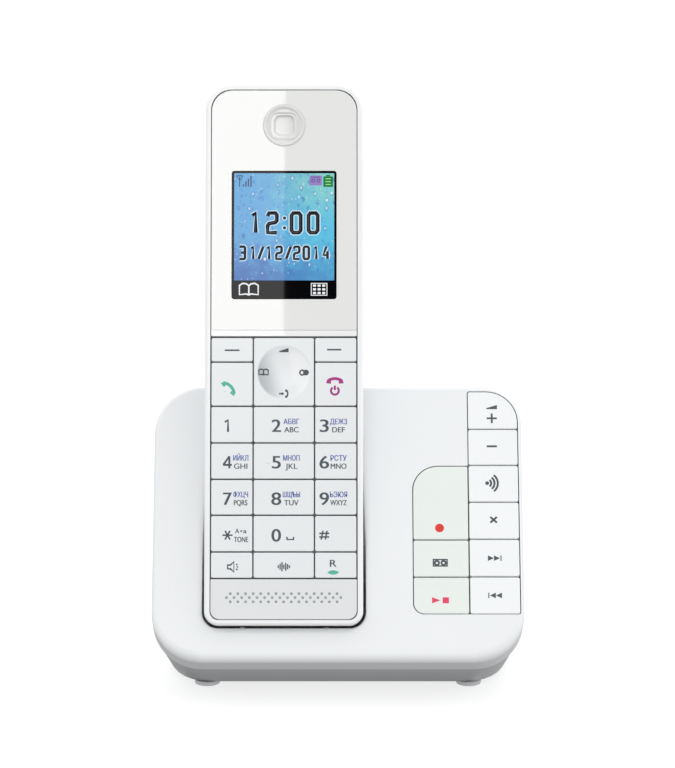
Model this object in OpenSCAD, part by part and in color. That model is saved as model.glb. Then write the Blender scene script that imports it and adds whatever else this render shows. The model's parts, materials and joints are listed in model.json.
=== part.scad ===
// Cordless telephone: a handset standing in its charging base, with the
// answering machine keys on the base. Millimetres. X is right, +Y is the back, Z is up.
// The handset is drawn flat: x across, y up its length, z out of its front, and
// is then leaned back. The base face is drawn the same way with a lean of its own.

/* [Handset] */
// Width of the handset
handset_w = 44.6; // [44:0.1:46]
// Length of the handset
handset_len = 153.3; // [152:0.1:157]
// Thickness of the handset
handset_t = 20; // [19.6:0.2:22]
// Lean of the handset above the horizontal, in degrees
handset_lean = 71; // [70:0.5:72]
// Corner radius at the top of the handset
handset_r_top = 7.4; // [6:0.2:9]
// Corner radius at the bottom of the handset
handset_r_bottom = 4; // [3:0.2:5]
// Width of the bright rim around the front
rim_w = 1.55; // [1.2:0.05:1.8]

/* [Keys] */
// Gap between neighbouring keys
key_gap = 0.36; // [0.3:0.02:0.5]
// Thickness of a key cap
key_t = 1.3; // [1.1:0.1:1.4]

/* [Base] */
// Width of the base
base_w = 105; // [104.6:0.2:110]
// Length of the sloping face, from lip to top edge
face_len = 81.7; // [81.4:0.1:84]
// Slope of the face above the horizontal, in degrees
face_lean = 56; // [55:0.5:57]
// Height of the lower edge of the face above the table
face_z = 14.5; // [14:0.1:16]
// Overall depth of the base
base_depth = 82; // [80:1:90]
// Depth of the front shell, square to the face
front_shell_t = 9.5; // [9:0.5:11]
// Height of the rubber feet
foot_h = 1.2; // [1:0.1:2]
// Sideways offset of the handset from the middle of the base
cradle_x = -15.25; // [-16:0.05:-15]

/* [Hidden] */
$fn = 48;

// Colours
pearl_white = [0.93, 0.94, 0.95];
rim_silver = [0.85, 0.86, 0.87];
warm_white = [0.90, 0.92, 0.90];
board_green = [0.10, 0.35, 0.20];
rubber_grey = [0.35, 0.36, 0.37];
screen_blue = [0.25, 0.55, 0.80];
steel = [0.75, 0.76, 0.78];
cell_wrap = [0.20, 0.55, 0.35];
dark_plastic = [0.12, 0.12, 0.13];

// A small amount by which a cutting shape passes through what it cuts
eps = 0.5;

// Place of the handset: its front lower edge stands proud of the face
face_up = [0, cos(face_lean), sin(face_lean)];
face_out = [0, -sin(face_lean), cos(face_lean)];
handset_out = [0, -sin(handset_lean), cos(handset_lean)];
lip_round = 0.4;
lip_y = lip_round * (cos(face_lean) + sin(face_lean));
centring_y = -(base_depth + lip_y) / 2;
face_origin = [0, centring_y, face_z];
handset_step = 9.2;
handset_proud = 3.3;
handset_origin = face_origin + handset_step * face_up + handset_proud * face_out + [cradle_x, 0, 0];

// Handset layers, as heights above its front plane
half_w = handset_w / 2;
parting_z = -9.6;
well_z = -2.3;
plate_back_z = -3.4;
membrane_front_z = -4.2;
board_front_z = -5.2;
board_back_z = -6.4;
back_z = -handset_t;
shell_wall = 1.5;
well_half = half_w - rim_w;
seat_gap = 0.2;

// Handset front layout, as distances from its lower edge
panel_bottom = 81.4;
panel_top = handset_len - rim_w - seat_gap;
keys_half = well_half - 0.35;
column_x = 8.63;
row_s = [13.15, 20.6, 30.9, 41.0, 51.25, 61.6, 74.1, 81.1];
screen_half = 14.85;
screen_bottom = 91.9;
screen_top = 128.5;
ear_s = 141.5;
ear_r = 5.95;
dish_s = 71.1;
dish_r = 7.7;
dish_depth = 0.6;
lower_panel_bottom = 1.5;
mic_s = 7.8;

// Battery bay in the back of the handset
door_half = 15.8;
door_bottom = 79.2;
door_top = 134.8;
door_gap = 0.2;
cell_r = 5.25;
cell_len = 44.5;
cell_bottom = 84.5;
cell_z = back_z + shell_wall + 0.45 + cell_r;
plate_x = 12;
contact_z = -14.5;
contact_r = 1.2;
case_screw_x = 14.4;
case_screw_s = 131.5;

// Base face layout, as distances from its lower edge
corner_r = 14;
corner_r_keys = 11;
edge_round = 1.4;
shell_t = 2;
right_column = [37.1, 51.5];
left_column = [21.2, 37.1];
right_rows = [13.5, 24.5, 35.6, 46.65, 57.7, 68.6, 80.1];
left_rows = [13.5, 24.4, 35.4, 57.5];
tray_z = -2.6;
tray_back_z = -3.8;
base_membrane_z = -4.8;
pocket_gap = 1.1;
pocket_floor = -0.9;
pocket_back = back_z - 0.6;
pocket_wall = 1.8;
back_inset = 5;
rear_top = [65.6, 68.8];
rear_knee = [base_depth - 1.2, 26];
foot_x = 37.5;
foot_r = 3.6;
foot_front_y = 23.6;
foot_back_y = base_depth - 8;
screw_x = [-27, 27];
screw_y = centring_y + 44;
jack_depth = 12;
jack_back_y = centring_y + base_depth - 3.4;
line_jack_x = 18;
line_jack_z = 7;
dc_jack_x = -24;
dc_jack_z = 13;

// ---------------------------------------------------------------- shared shapes

module on_handset() {
  translate(handset_origin) rotate([handset_lean, 0, 0]) children();
}

module on_face() {
  translate(face_origin) rotate([face_lean, 0, 0]) children();
}

// Rectangle with its own radius at each corner: lower left, lower right, upper right, upper left
module rounded(x0, y0, x1, y1, r) {
  corner = [[x0, y0, 1, 1], [x1, y0, -1, 1], [x1, y1, -1, -1], [x0, y1, 1, -1]];
  polygon([
    for (i = [0:3])
      for (side = i % 2 == 0 ? [0, 1] : [1, 0])
        side == 0
          ? [corner[i][0], corner[i][1] + corner[i][3] * r[i]]
          : [corner[i][0] + corner[i][2] * r[i], corner[i][1]]
  ]);
  for (i = [0:3])
    intersection() {
      translate([corner[i][0] + corner[i][2] * r[i], corner[i][1] + corner[i][3] * r[i]])
        circle(r[i]);
      translate([min(corner[i][0], corner[i][0] + corner[i][2] * r[i]),
                 min(corner[i][1], corner[i][1] + corner[i][3] * r[i])])
        square(r[i]);
    }
}

module slab(x0, y0, x1, y1, r, z0, z1) {
  translate([0, 0, z0]) linear_extrude(z1 - z0) rounded(x0, y0, x1, y1, r);
}

// Outline of the handset, drawn in by a margin on every side
module handset_slab(margin, z0, z1) {
  low = handset_r_bottom - margin * 0.8;
  high = handset_r_top - margin * 0.8;
  slab(-half_w + margin, margin, half_w - margin, handset_len - margin,
       [low, low, high, high], z0, z1);
}

// A key cap with its plunger, between two columns and two rows
module key_cap(x0, x1, y0, y1, stem_z, radii = [0.5, 0.5, 0.5, 0.5]) {
  g = key_gap / 2;
  slab(x0 + g, y0 + g, x1 - g, y1 - g, radii, -key_t, 0);
  translate([(x0 + x1) / 2, (y0 + y1) / 2, stem_z]) cylinder(h = -key_t - stem_z + 0.1, r = 1.5);
}

// The hole that a key's plunger runs in
module stem_hole(x0, x1, y0, y1, z0, z1) {
  translate([(x0 + x1) / 2, (y0 + y1) / 2, z0]) cylinder(h = z1 - z0, r = 2);
}

// ---------------------------------------------------------------- handset keys

columns = [[-keys_half - key_gap / 2, -column_x], [-column_x, column_x],
           [column_x, keys_half + key_gap / 2]];

// Every plain handset key as [column, lower row line, upper row line]
soft_left_at = [0, 6, 7];
soft_right_at = [2, 6, 7];
talk_at = [0, 5, 6];
off_at = [2, 5, 6];
star_at = [0, 1, 2];
zero_at = [1, 1, 2];
hash_at = [2, 1, 2];
speaker_at = [0, 0, 1];
quiet_at = [1, 0, 1];
recall_at = [2, 0, 1];
function digit_at(d) = [(d - 1) % 3, 4 - floor((d - 1) / 3), 5 - floor((d - 1) / 3)];
plain_keys = concat(
  [soft_left_at, soft_right_at, talk_at, off_at, star_at, zero_at, hash_at,
   speaker_at, quiet_at, recall_at],
  [for (d = [1:9]) digit_at(d)]
);

module handset_key(at) {
  color(pearl_white) on_handset()
    key_cap(columns[at[0]][0], columns[at[0]][1], row_s[at[1]], row_s[at[2]], plate_back_z);
}

module soft_key_left() { handset_key(soft_left_at); }
module soft_key_right() { handset_key(soft_right_at); }
module talk_key() { handset_key(talk_at); }
module off_key() { handset_key(off_at); }
module key_1() { handset_key(digit_at(1)); }
module key_2() { handset_key(digit_at(2)); }
module key_3() { handset_key(digit_at(3)); }
module key_4() { handset_key(digit_at(4)); }
module key_5() { handset_key(digit_at(5)); }
module key_6() { handset_key(digit_at(6)); }
module key_7() { handset_key(digit_at(7)); }
module key_8() { handset_key(digit_at(8)); }
module key_9() { handset_key(digit_at(9)); }
module key_star() { handset_key(star_at); }
module key_0() { handset_key(zero_at); }
module key_hash() { handset_key(hash_at); }
module speakerphone_key() { handset_key(speaker_at); }
module noise_reduction_key() { handset_key(quiet_at); }
module recall_key() { handset_key(recall_at); }

// Navigator: a dished cap that rocks on an axle, on a pivot that rocks the other way
axle_z = -1.85;
axle_r = 0.45;
hub_half = 1.5;
lug_x = 2.3;
lug_w = 0.6;
pivot_r = 3.2;
hub_back_z = -2.55;
pivot_front_z = -2.75;
pivot_back_z = -3.25;

module navigator_key() {
  g = key_gap / 2;
  rings = 8;
  color(pearl_white) on_handset() difference() {
    union() {
      slab(-column_x + g, row_s[5] + g, column_x - g, row_s[7] - g, [0.5, 0.5, 0.5, 0.5], -key_t, 0);
      translate([-hub_half, dish_s - 0.8, hub_back_z]) cube([2 * hub_half, 1.6, -key_t - hub_back_z + 0.1]);
    }
    translate([0, dish_s, 0]) rotate_extrude($fn = 64) polygon(concat(
      [for (i = [0:rings]) [dish_r * i / rings, -dish_depth * (1 - pow(i / rings, 2))]],
      [[dish_r, 1], [0, 1]]));
    translate([-hub_half - eps, dish_s, axle_z]) rotate([0, 90, 0])
      cylinder(h = 2 * (hub_half + eps), r = axle_r + 0.1, $fn = 24);
  }
}

module navigator_pivot() {
  lug_front_z = -1.45;
  color(dark_plastic) on_handset() translate([0, dish_s, 0]) {
    translate([0, 0, pivot_back_z]) cylinder(h = pivot_front_z - pivot_back_z, r = pivot_r);
    for (side = [-1, 1])
      translate([side * (lug_x + lug_w / 2) - lug_w / 2, -0.6, pivot_front_z - 0.1])
        cube([lug_w, 1.2, lug_front_z - pivot_front_z + 0.1]);
    translate([-lug_x - 0.1, 0, axle_z]) rotate([0, 90, 0])
      cylinder(h = 2 * lug_x + 0.2, r = axle_r, $fn = 24);
  }
}

// ---------------------------------------------------------------- handset front

module handset_front_frame() {
  pivot_hole_r = 4.2;
  module_half = 15.3;
  color(rim_silver) on_handset() difference() {
    handset_slab(0, parting_z, 0);
    handset_slab(rim_w, well_z, eps);
    handset_slab(shell_wall, parting_z - eps, plate_back_z);
    for (at = plain_keys)
      stem_hole(columns[at[0]][0], columns[at[0]][1], row_s[at[1]], row_s[at[2]],
                plate_back_z - eps, well_z + eps);
    translate([0, dish_s, plate_back_z - eps]) cylinder(h = 3, r = pivot_hole_r);
    slab(-module_half, screen_bottom - 0.4, module_half, screen_top + 0.4, [1, 1, 1, 1],
         plate_back_z - eps, eps);
    translate([0, ear_s, plate_back_z - eps]) cylinder(h = 3, r = 3);
    translate([0, mic_s, plate_back_z - eps]) cylinder(h = 3, r = 1.5);
  }
}

module handset_front_panel() {
  half = well_half - seat_gap;
  high = handset_r_top - rim_w * 0.8 - seat_gap;
  color(pearl_white) on_handset() difference() {
    slab(-half, panel_bottom, half, panel_top, [0.4, 0.4, high, high], well_z, 0);
    slab(-screen_half, screen_bottom, screen_half, screen_top, [0.8, 0.8, 0.8, 0.8], well_z - eps, eps);
    translate([0, ear_s, well_z - eps]) cylinder(h = 4, r = ear_r + 0.05);
  }
}

module handset_lcd() {
  glass_z = -0.1;
  back_half = 17;
  color(screen_blue) on_handset() {
    slab(-screen_half + 0.1, screen_bottom + 0.1, screen_half - 0.1, screen_top - 0.1,
         [0.7, 0.7, 0.7, 0.7], plate_back_z - 0.2, glass_z);
    translate([-back_half, screen_bottom - 2, board_front_z])
      cube([2 * back_half, screen_top - screen_bottom + 4, plate_back_z - 0.1 - board_front_z]);
  }
}

module handset_earpiece_ring() {
  proud = 0.25;
  bowl_half = 2.25;
  color(pearl_white) on_handset() translate([0, ear_s, 0]) difference() {
    union() {
      translate([0, 0, well_z]) cylinder(h = -well_z, r = ear_r);
      translate([0, 0, -0.1]) cylinder(h = 0.1 + proud, r = ear_r - 0.35);
    }
    translate([0, 0, -0.05]) cylinder(h = 1, r = 4.7);
    slab(-bowl_half, -bowl_half, bowl_half, bowl_half, [1.4, 1.4, 1.4, 1.4], -1.0, 1);
    for (x = [-1.1, 0, 1.1])
      translate([x, 0, well_z - eps]) cylinder(h = 3, r = 0.4, $fn = 16);
  }
}

module handset_receiver() {
  color(dark_plastic) on_handset() translate([0, ear_s, board_front_z + 0.2])
    cylinder(h = plate_back_z - board_front_z - 0.3, r = 6.5);
}

module handset_lower_panel() {
  half = well_half - seat_gap;
  low = handset_r_bottom - rim_w * 0.8 - seat_gap;
  color(pearl_white) on_handset() difference() {
    slab(-half, lower_panel_bottom + seat_gap, half, row_s[0] - key_gap / 2, [low, low, 0.4, 0.4], well_z, 0);
    translate([0, mic_s, well_z - eps]) cylinder(h = 4, r = 0.5, $fn = 16);
  }
}

module handset_microphone() {
  color(steel) on_handset() translate([0, mic_s, board_front_z + 0.1])
    cylinder(h = plate_back_z - board_front_z - 0.2, r = 3);
}

module handset_keypad_membrane() {
  half = 19;
  color(rubber_grey) on_handset()
    slab(-half, 12, half, 80, [2, 2, 2, 2], board_front_z, membrane_front_z);
}

module handset_pcb() {
  half = 19;
  color(board_green) on_handset()
    slab(-half, 5, half, 148, [2, 2, 4, 4], board_back_z, board_front_z);
}

// ---------------------------------------------------------------- handset back

// Back shape of the handset: drawn in towards the back, flat behind
module handset_back_form(margin, z0, z1) {
  hull() {
    handset_slab(margin, z1 - 0.1, z1);
    handset_slab(margin + 1.1, (z0 + z1) / 2 - 2.4, (z0 + z1) / 2 - 2.3);
    slab(-half_w + back_inset + margin, 2 + margin, half_w - back_inset - margin,
         handset_len - back_inset - margin, [3, 3, 6, 6], z0, z0 + 0.1);
  }
}

module handset_rear_cover() {
  slot_count = 5;
  color(pearl_white) on_handset() difference() {
    union() {
      difference() {
        handset_back_form(0.1, back_z, parting_z, $fn = 32);
        handset_back_form(shell_wall, back_z + shell_wall, parting_z + 0.05, $fn = 32);
      }
      for (side = [-1, 1]) {
        translate([side * 12.6 - 0.6, cell_bottom - 2.5, back_z + shell_wall - 0.1])
          cube([1.2, cell_len + 2.6, 9]);
        translate([side * 17 - 4.6, case_screw_s - 2.2, back_z + 4]) cube([9.2, 4.4, 5]);
      }
    }
    for (side = [-1, 1])
      translate([side * case_screw_x, case_screw_s, back_z]) cylinder(h = 12, r = 1, $fn = 24);
    slab(-door_half - door_gap, door_bottom - door_gap, door_half + door_gap, door_top + door_gap,
         [2, 2, 2, 2], back_z - eps, back_z + shell_wall + 0.2);
    for (i = [0:slot_count - 1])
      translate([-6, 24 + 3 * i, back_z - eps]) cube([12, 1.2, 3]);
    charge_plate_blocks(0.05);
  }
}

module charge_plate_blocks(margin) {
  for (side = [-1, 1])
    translate([side * plate_x - 3 - margin, 0.35, contact_z - 2 - margin])
      cube([6 + 2 * margin, 3 + margin, 4 + 2 * margin]);
}

module handset_charge_plates() {
  color(steel) on_handset() charge_plate_blocks(0);
}

module battery_cover() {
  color(pearl_white) on_handset() difference() {
    union() {
      slab(-door_half, door_bottom, door_half, door_top, [1.8, 1.8, 1.8, 1.8],
           back_z, back_z + shell_wall - 0.1);
      for (side = [-1, 1])
        translate([side * 8 - 2.5, door_bottom - 1.5, back_z + shell_wall + 0.25])
          cube([5, 3.5, 0.8]);
      for (side = [-1, 1])
        translate([side * 8 - 2.5, door_bottom + 0.6, back_z + shell_wall - 0.2])
          cube([5, 1.4, 0.6]);
    }
    translate([0, door_top - 6, back_z - 11.4]) rotate([90, 0, 0]) sphere(12, $fn = 64);
  }
}

module cell(side) {
  color(cell_wrap) on_handset() translate([side * (cell_r + 0.3), cell_bottom, cell_z])
    rotate([-90, 0, 0]) {
      cylinder(h = cell_len - 0.8, r = cell_r);
      cylinder(h = cell_len, r = 1.8);
    }
}

module battery_cell_left() { cell(-1); }
module battery_cell_right() { cell(1); }

module battery_contacts() {
  color(steel) on_handset()
    for (side = [-1, 1])
      for (end_s = [cell_bottom - 1.1, cell_bottom + cell_len + 0.1])
        translate([side * (cell_r + 0.3) - 4, end_s, cell_z - 4]) cube([8, 1, 8]);
}

module handset_ringer_speaker() {
  color(dark_plastic) on_handset() translate([0, 30.6, back_z + shell_wall + 0.1])
    cylinder(h = 5, r = 10);
}

module handset_screws() {
  head_z = back_z + 2.6;
  color(steel) on_handset()
    for (side = [-1, 1])
      translate([side * case_screw_x, case_screw_s, head_z]) {
        cylinder(h = 1.4, r = 1.8, $fn = 24);
        cylinder(h = 7, r = 0.9, $fn = 24);
      }
}

// ---------------------------------------------------------------- base shells

// Outline of the face, drawn in by a margin on every side
module face_slab(margin, z0, z1) {
  r = corner_r - margin;
  slab(-base_w / 2 + margin, margin, base_w / 2 - margin, face_len - margin,
       [r, r, corner_r_keys - margin, r], z0, z1);
}

// Side profile of the whole base, from the front edge to the back, standing on its feet
module base_profile(inset) {
  out = [
    [-20, foot_h + inset],
    [base_depth - 3, foot_h + inset],
    [base_depth - inset, foot_h + 3],
    [rear_knee[0] - inset, rear_knee[1]],
    [rear_top[0] - inset, rear_top[1] - inset / 2],
    [40, 110]
  ];
  translate([0, centring_y, 0]) rotate([90, 0, 90])
    translate([0, 0, -base_w]) linear_extrude(2 * base_w) polygon(concat(out, [[-20, 110]]));
}

// One layer of the pocket, narrower than the handset by an inset
module pocket_layer(inset, grow, z0, z1) {
  half = half_w + pocket_gap - inset + grow;
  slab(-half, pocket_floor - grow + inset * 0.4, half, handset_len, [4.6, 4.6, 1, 1], z0, z1, $fn = 32);
}

// The pocket that the handset stands in: it follows the handset's back, and is
// open to the front and along the way that the handset lifts out
module pocket(grow) {
  open_z = 60;
  on_handset() {
    hull() {
      pocket_layer(0, grow, parting_z - 1.1, parting_z - 1);
      pocket_layer(1.1, grow, -17.8, -17.7);
      pocket_layer(back_inset, grow, pocket_back - grow, pocket_back - grow + 0.1);
    }
    pocket_layer(0, grow, parting_z - 1, open_z);
  }
}

module base_key_well(z0, z1) {
  g = 0.3;
  slab(right_column[0] - g, right_rows[0] - g, right_column[1] + g, right_rows[6] + g,
       [0.8, 0.8, corner_r_keys - 1.4, 0.8], z0, z1);
  slab(left_column[0] - g, left_rows[0] - g, left_column[1] + 1, left_rows[3] + g,
       [3.2, 0.8, 0.8, 7.4], z0, z1);
}

module base_front_shell() {
  color(pearl_white) difference() {
    union() {
      difference() {
        on_face() hull() {
          face_slab(0, -front_shell_t, -edge_round, $fn = 32);
          face_slab(lip_round, -lip_round - 0.1, -lip_round, $fn = 32);
          face_slab(edge_round, -0.1, 0, $fn = 32);
        }
        on_face() face_slab(shell_t, -front_shell_t - eps, -shell_t, $fn = 32);
      }
      intersection() {
        pocket(pocket_wall);
        on_face() face_slab(1, -40, -1, $fn = 32);
      }
      on_face() slab(left_column[0] - 1.6, right_rows[0] - 1.6, right_column[1] + 0.6, right_rows[6] + 0.6,
                     [3, 2, 9, 3], tray_back_z, -1);
    }
    pocket(0);
    on_face() base_key_well(tray_z, eps);
    on_face() for (at = base_keys)
      stem_hole(at[0], at[1], at[2], at[3], tray_back_z - eps, tray_z + eps);
    on_handset() for (side = [-1, 1])
      translate([side * plate_x, 0, contact_z]) rotate([90, 0, 0])
        cylinder(h = 4, r = contact_r + 0.3, $fn = 24);
  }
}

// Rear shell: a hollow tub behind the front shell, with the jacks in its back wall
module base_rear_shell() {
  slot_count = 6;
  color(pearl_white) difference() {
    union() {
      difference() {
        rear_form(0);
        rear_form(shell_t);
      }
      for (x = screw_x)
        translate([x, screw_y, foot_h + 1.8]) cylinder(h = 8, r = 4, $fn = 32);
    }
    for (x = screw_x)
      translate([x, screw_y, foot_h - eps]) {
        cylinder(h = 2.3, r = 2.8, $fn = 32);
        cylinder(h = 12, r = 1.25, $fn = 32);
      }
    translate([line_jack_x + 1.7, jack_back_y - 8, line_jack_z + 2.5]) cube([9.6, 20, 7]);
    translate([dc_jack_x, jack_back_y - 8, dc_jack_z]) rotate([-90, 0, 0]) cylinder(h = 20, r = 3.4);
    for (i = [0:slot_count - 1])
      translate([22 + 4 * i, centring_y + rear_knee[0] - 14, 40]) cube([1.6, 20, 14]);
  }
}

module rear_form(inset) {
  intersection() {
    on_face() hull() {
      face_slab(0.3 + inset, -front_shell_t - 0.1, -front_shell_t, $fn = 32);
      slab(-base_w / 2 + 8 + inset, 3 + inset, base_w / 2 - 8 - inset, face_len - 2 - inset,
           [18, 18, 14, 14], -100, -99.9, $fn = 32);
    }
    base_profile(inset);
  }
}

module base_pcb() {
  color(board_green) on_face()
    translate([14, 12, -12]) cube([34, 62, 1.2]);
}

module base_speaker() {
  color(dark_plastic) on_face()
    translate([32, 40, -24]) cylinder(h = 10, r = 14);
}

module base_keypad_membrane() {
  color(rubber_grey) on_face()
    slab(left_column[0] - 1, 12, 50, 75, [1, 1, 8, 1], base_membrane_z - 1, base_membrane_z);
}

// ---------------------------------------------------------------- base keys

volume_up_at = [right_column[0], right_column[1], right_rows[5], right_rows[6]];
volume_down_at = [right_column[0], right_column[1], right_rows[4], right_rows[5]];
locator_at = [right_column[0], right_column[1], right_rows[3], right_rows[4]];
erase_at = [right_column[0], right_column[1], right_rows[2], right_rows[3]];
next_at = [right_column[0], right_column[1], right_rows[1], right_rows[2]];
previous_at = [right_column[0], right_column[1], right_rows[0], right_rows[1]];
record_at = [left_column[0], left_column[1], left_rows[2], left_rows[3]];
greeting_at = [left_column[0], left_column[1], left_rows[1], left_rows[2]];
play_stop_at = [left_column[0], left_column[1], left_rows[0], left_rows[1]];
base_keys = [volume_up_at, volume_down_at, locator_at, erase_at, next_at, previous_at,
             record_at, greeting_at, play_stop_at];

module base_key(at, tint, radii = [0.5, 0.5, 0.5, 0.5]) {
  color(tint) on_face() key_cap(at[0], at[1], at[2], at[3], tray_back_z, radii);
}

module volume_up_key() { base_key(volume_up_at, pearl_white, [0.5, 0.5, corner_r_keys - 1.9, 0.5]); }
module volume_down_key() { base_key(volume_down_at, pearl_white); }
module locator_key() { base_key(locator_at, pearl_white); }
module erase_key() { base_key(erase_at, pearl_white); }
module next_key() { base_key(next_at, pearl_white); }
module previous_key() { base_key(previous_at, pearl_white); }
module record_key() { base_key(record_at, warm_white, [0.5, 0.5, 0.5, 7.1]); }
module greeting_key() { base_key(greeting_at, warm_white); }
module play_stop_key() { base_key(play_stop_at, warm_white, [3, 0.5, 0.5, 0.5]); }

// ---------------------------------------------------------------- base hardware

module charge_contact(side) {
  color(steel) on_handset() translate([side * plate_x, 0, contact_z]) rotate([90, 0, 0]) {
    cylinder(h = 7, r = contact_r, $fn = 24);
    translate([0, 0, 5.5]) cylinder(h = 1, r = 2, $fn = 24);
  }
}

module charge_contact_left() { charge_contact(-1); }
module charge_contact_right() { charge_contact(1); }

module base_rubber_feet() {
  color(rubber_grey) translate([0, centring_y, 0])
    for (x = [-foot_x, foot_x])
      for (y = [foot_front_y, foot_back_y])
        translate([x, y, 0]) cylinder(h = foot_h, r = foot_r);
}

module base_screws() {
  color(steel)
    for (x = screw_x)
      translate([x, screw_y, foot_h + 0.4]) {
        cylinder(h = 1.4, r = 2.5, $fn = 24);
        cylinder(h = 9, r = 1.2, $fn = 24);
      }
}

module line_jack() {
  color(dark_plastic) translate([line_jack_x, jack_back_y - jack_depth, line_jack_z])
    difference() {
      cube([13, jack_depth, 12]);
      translate([1.7, 2, 2.5]) cube([9.6, jack_depth, 7]);
    }
}

module dc_jack() {
  color(dark_plastic) translate([dc_jack_x, jack_back_y - jack_depth, dc_jack_z]) rotate([-90, 0, 0]) {
    difference() {
      cylinder(h = jack_depth, r = 4.5);
      translate([0, 0, 2]) cylinder(h = jack_depth, r = 2.8);
    }
    cylinder(h = jack_depth - 1.5, r = 0.8, $fn = 24);
  }
}

handset_front_frame();
handset_front_panel();
handset_lcd();
handset_earpiece_ring();
handset_receiver();
handset_rear_cover();
handset_pcb();
handset_keypad_membrane();
handset_lower_panel();
handset_microphone();
handset_ringer_speaker();
handset_charge_plates();
handset_screws();
battery_cell_left();
battery_cell_right();
battery_contacts();
battery_cover();
navigator_pivot();
navigator_key();
soft_key_left();
soft_key_right();
talk_key();
off_key();
key_1();
key_2();
key_3();
key_4();
key_5();
key_6();
key_7();
key_8();
key_9();
key_star();
key_0();
key_hash();
speakerphone_key();
noise_reduction_key();
recall_key();
base_front_shell();
base_rear_shell();
base_pcb();
base_speaker();
base_keypad_membrane();
volume_up_key();
volume_down_key();
locator_key();
erase_key();
next_key();
previous_key();
record_key();
greeting_key();
play_stop_key();
charge_contact_left();
charge_contact_right();
base_rubber_feet();
base_screws();
line_jack();
dc_jack();
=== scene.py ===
"""Cordless telephone in its charging base: detailed pieces, finishes, light and camera.

Every piece is shaped in the millimetres of a flat working plane (the handset's front or the
base's sloping face) and is then set into the shared frame, in metres.
"""

import json
import logging
import math
from collections.abc import Callable, Iterable, Sequence
from dataclasses import dataclass, field
from enum import Enum

import bpy
from bpy.types import Curve, Material, Mesh, Node, NodeSocket, NodeTree, Object
from mathutils import Matrix, Vector


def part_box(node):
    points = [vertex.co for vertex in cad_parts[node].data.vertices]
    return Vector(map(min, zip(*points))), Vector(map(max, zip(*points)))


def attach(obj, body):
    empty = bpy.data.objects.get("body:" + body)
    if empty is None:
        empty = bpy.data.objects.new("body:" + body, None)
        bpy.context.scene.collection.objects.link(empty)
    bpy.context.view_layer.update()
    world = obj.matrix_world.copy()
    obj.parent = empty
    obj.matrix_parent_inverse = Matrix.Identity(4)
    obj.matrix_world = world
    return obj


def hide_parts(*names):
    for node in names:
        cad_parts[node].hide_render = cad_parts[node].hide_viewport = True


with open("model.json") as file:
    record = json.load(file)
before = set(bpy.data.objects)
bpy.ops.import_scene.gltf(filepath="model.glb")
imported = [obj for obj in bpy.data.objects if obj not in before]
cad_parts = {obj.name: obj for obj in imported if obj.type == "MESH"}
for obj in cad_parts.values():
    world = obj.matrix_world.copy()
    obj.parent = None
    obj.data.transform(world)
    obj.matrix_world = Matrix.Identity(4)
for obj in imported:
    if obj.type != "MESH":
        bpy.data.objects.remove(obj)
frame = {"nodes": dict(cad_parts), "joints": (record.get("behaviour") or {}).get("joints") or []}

LOG = logging.getLogger("telephone")
MM = 0.001
Colour = tuple[float, float, float]
Point = tuple[float, float]
Loop = list[Point]
Test = Callable[[Vector, Vector], bool]


# --- working planes


@dataclass(frozen=True)
class Box:
    """A block between two corners, in the millimetres of a plane."""

    low: Vector
    high: Vector

    @property
    def centre(self) -> Vector:
        """The middle of the block."""
        return (self.low + self.high) / 2

    @property
    def size(self) -> Vector:
        """The block's three sides."""
        return self.high - self.low

    @classmethod
    def of(cls, x: Point, y: Point, z: Point) -> "Box":
        """A block from its three ranges."""
        return cls(Vector((x[0], y[0], z[0])), Vector((x[1], y[1], z[1])))

    def layer(self, bottom: float, top: float) -> "Box":
        """The same outline between two other heights."""
        return Box.of((self.low.x, self.high.x), (self.low.y, self.high.y), (bottom, top))

    def drawn_in(self, margin: float) -> "Box":
        """The same layer with its outline drawn in by a margin."""
        step = Vector((margin, margin, 0))
        return Box(self.low + step, self.high - step)


@dataclass(frozen=True)
class Plane:
    """A flat working plane: x across, y up the length, z out of the front."""

    origin: Vector
    up: Vector
    out: Vector

    @classmethod
    def on(cls, node: str, up: Vector, out: Vector) -> "Plane":
        """The plane of a node's front, with its origin at the middle of the lower edge.

        Args:
            node: the CAD node whose front the plane lies on.
            up: direction up its length.
            out: direction out of its front.

        Returns:
            The plane.
        """
        across = up.cross(out)
        points = [v.co for v in frame["nodes"][node].data.vertices]
        side = [p.dot(across) for p in points]
        origin = across * (min(side) + max(side)) / 2
        origin += up * min(p.dot(up) for p in points)
        origin += out * max(p.dot(out) for p in points)
        return cls(origin, up, out)

    @property
    def across(self) -> Vector:
        """The direction from left to right."""
        return self.up.cross(self.out)

    def matrix(self) -> Matrix:
        """Turns the plane's millimetres into the shared frame's metres."""
        turn = Matrix((self.across, self.up, self.out)).transposed().to_4x4()
        return Matrix.Translation(self.origin) @ turn @ Matrix.Scale(MM, 4)

    def box(self, node: str) -> Box:
        """The box of a CAD node in this plane's millimetres.

        Args:
            node: the CAD node.

        Returns:
            Its box.
        """
        back = self.matrix().inverted()
        points = [back @ v.co for v in frame["nodes"][node].data.vertices]
        low = Vector([min(p[i] for p in points) for i in range(3)])
        high = Vector([max(p[i] for p in points) for i in range(3)])
        return Box(low, high)


def direction(joint: str) -> Vector:
    """The axis of a joint, as a unit vector."""
    found = next(j for j in frame["joints"] if j["name"] == joint)
    return Vector(found["axis"]).normalized()


HANDSET_UP = direction("handset_lift")
HANDSET_OUT = Vector((1, 0, 0)).cross(HANDSET_UP)
FACE_OUT = -direction("volume_up_key_press")
FACE_UP = FACE_OUT.cross(Vector((1, 0, 0)))
HANDSET = Plane.on("handset_front_frame", HANDSET_UP, HANDSET_OUT)
FACE = Plane.on("base_front_shell", FACE_UP, FACE_OUT)


# --- modelling bench


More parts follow.
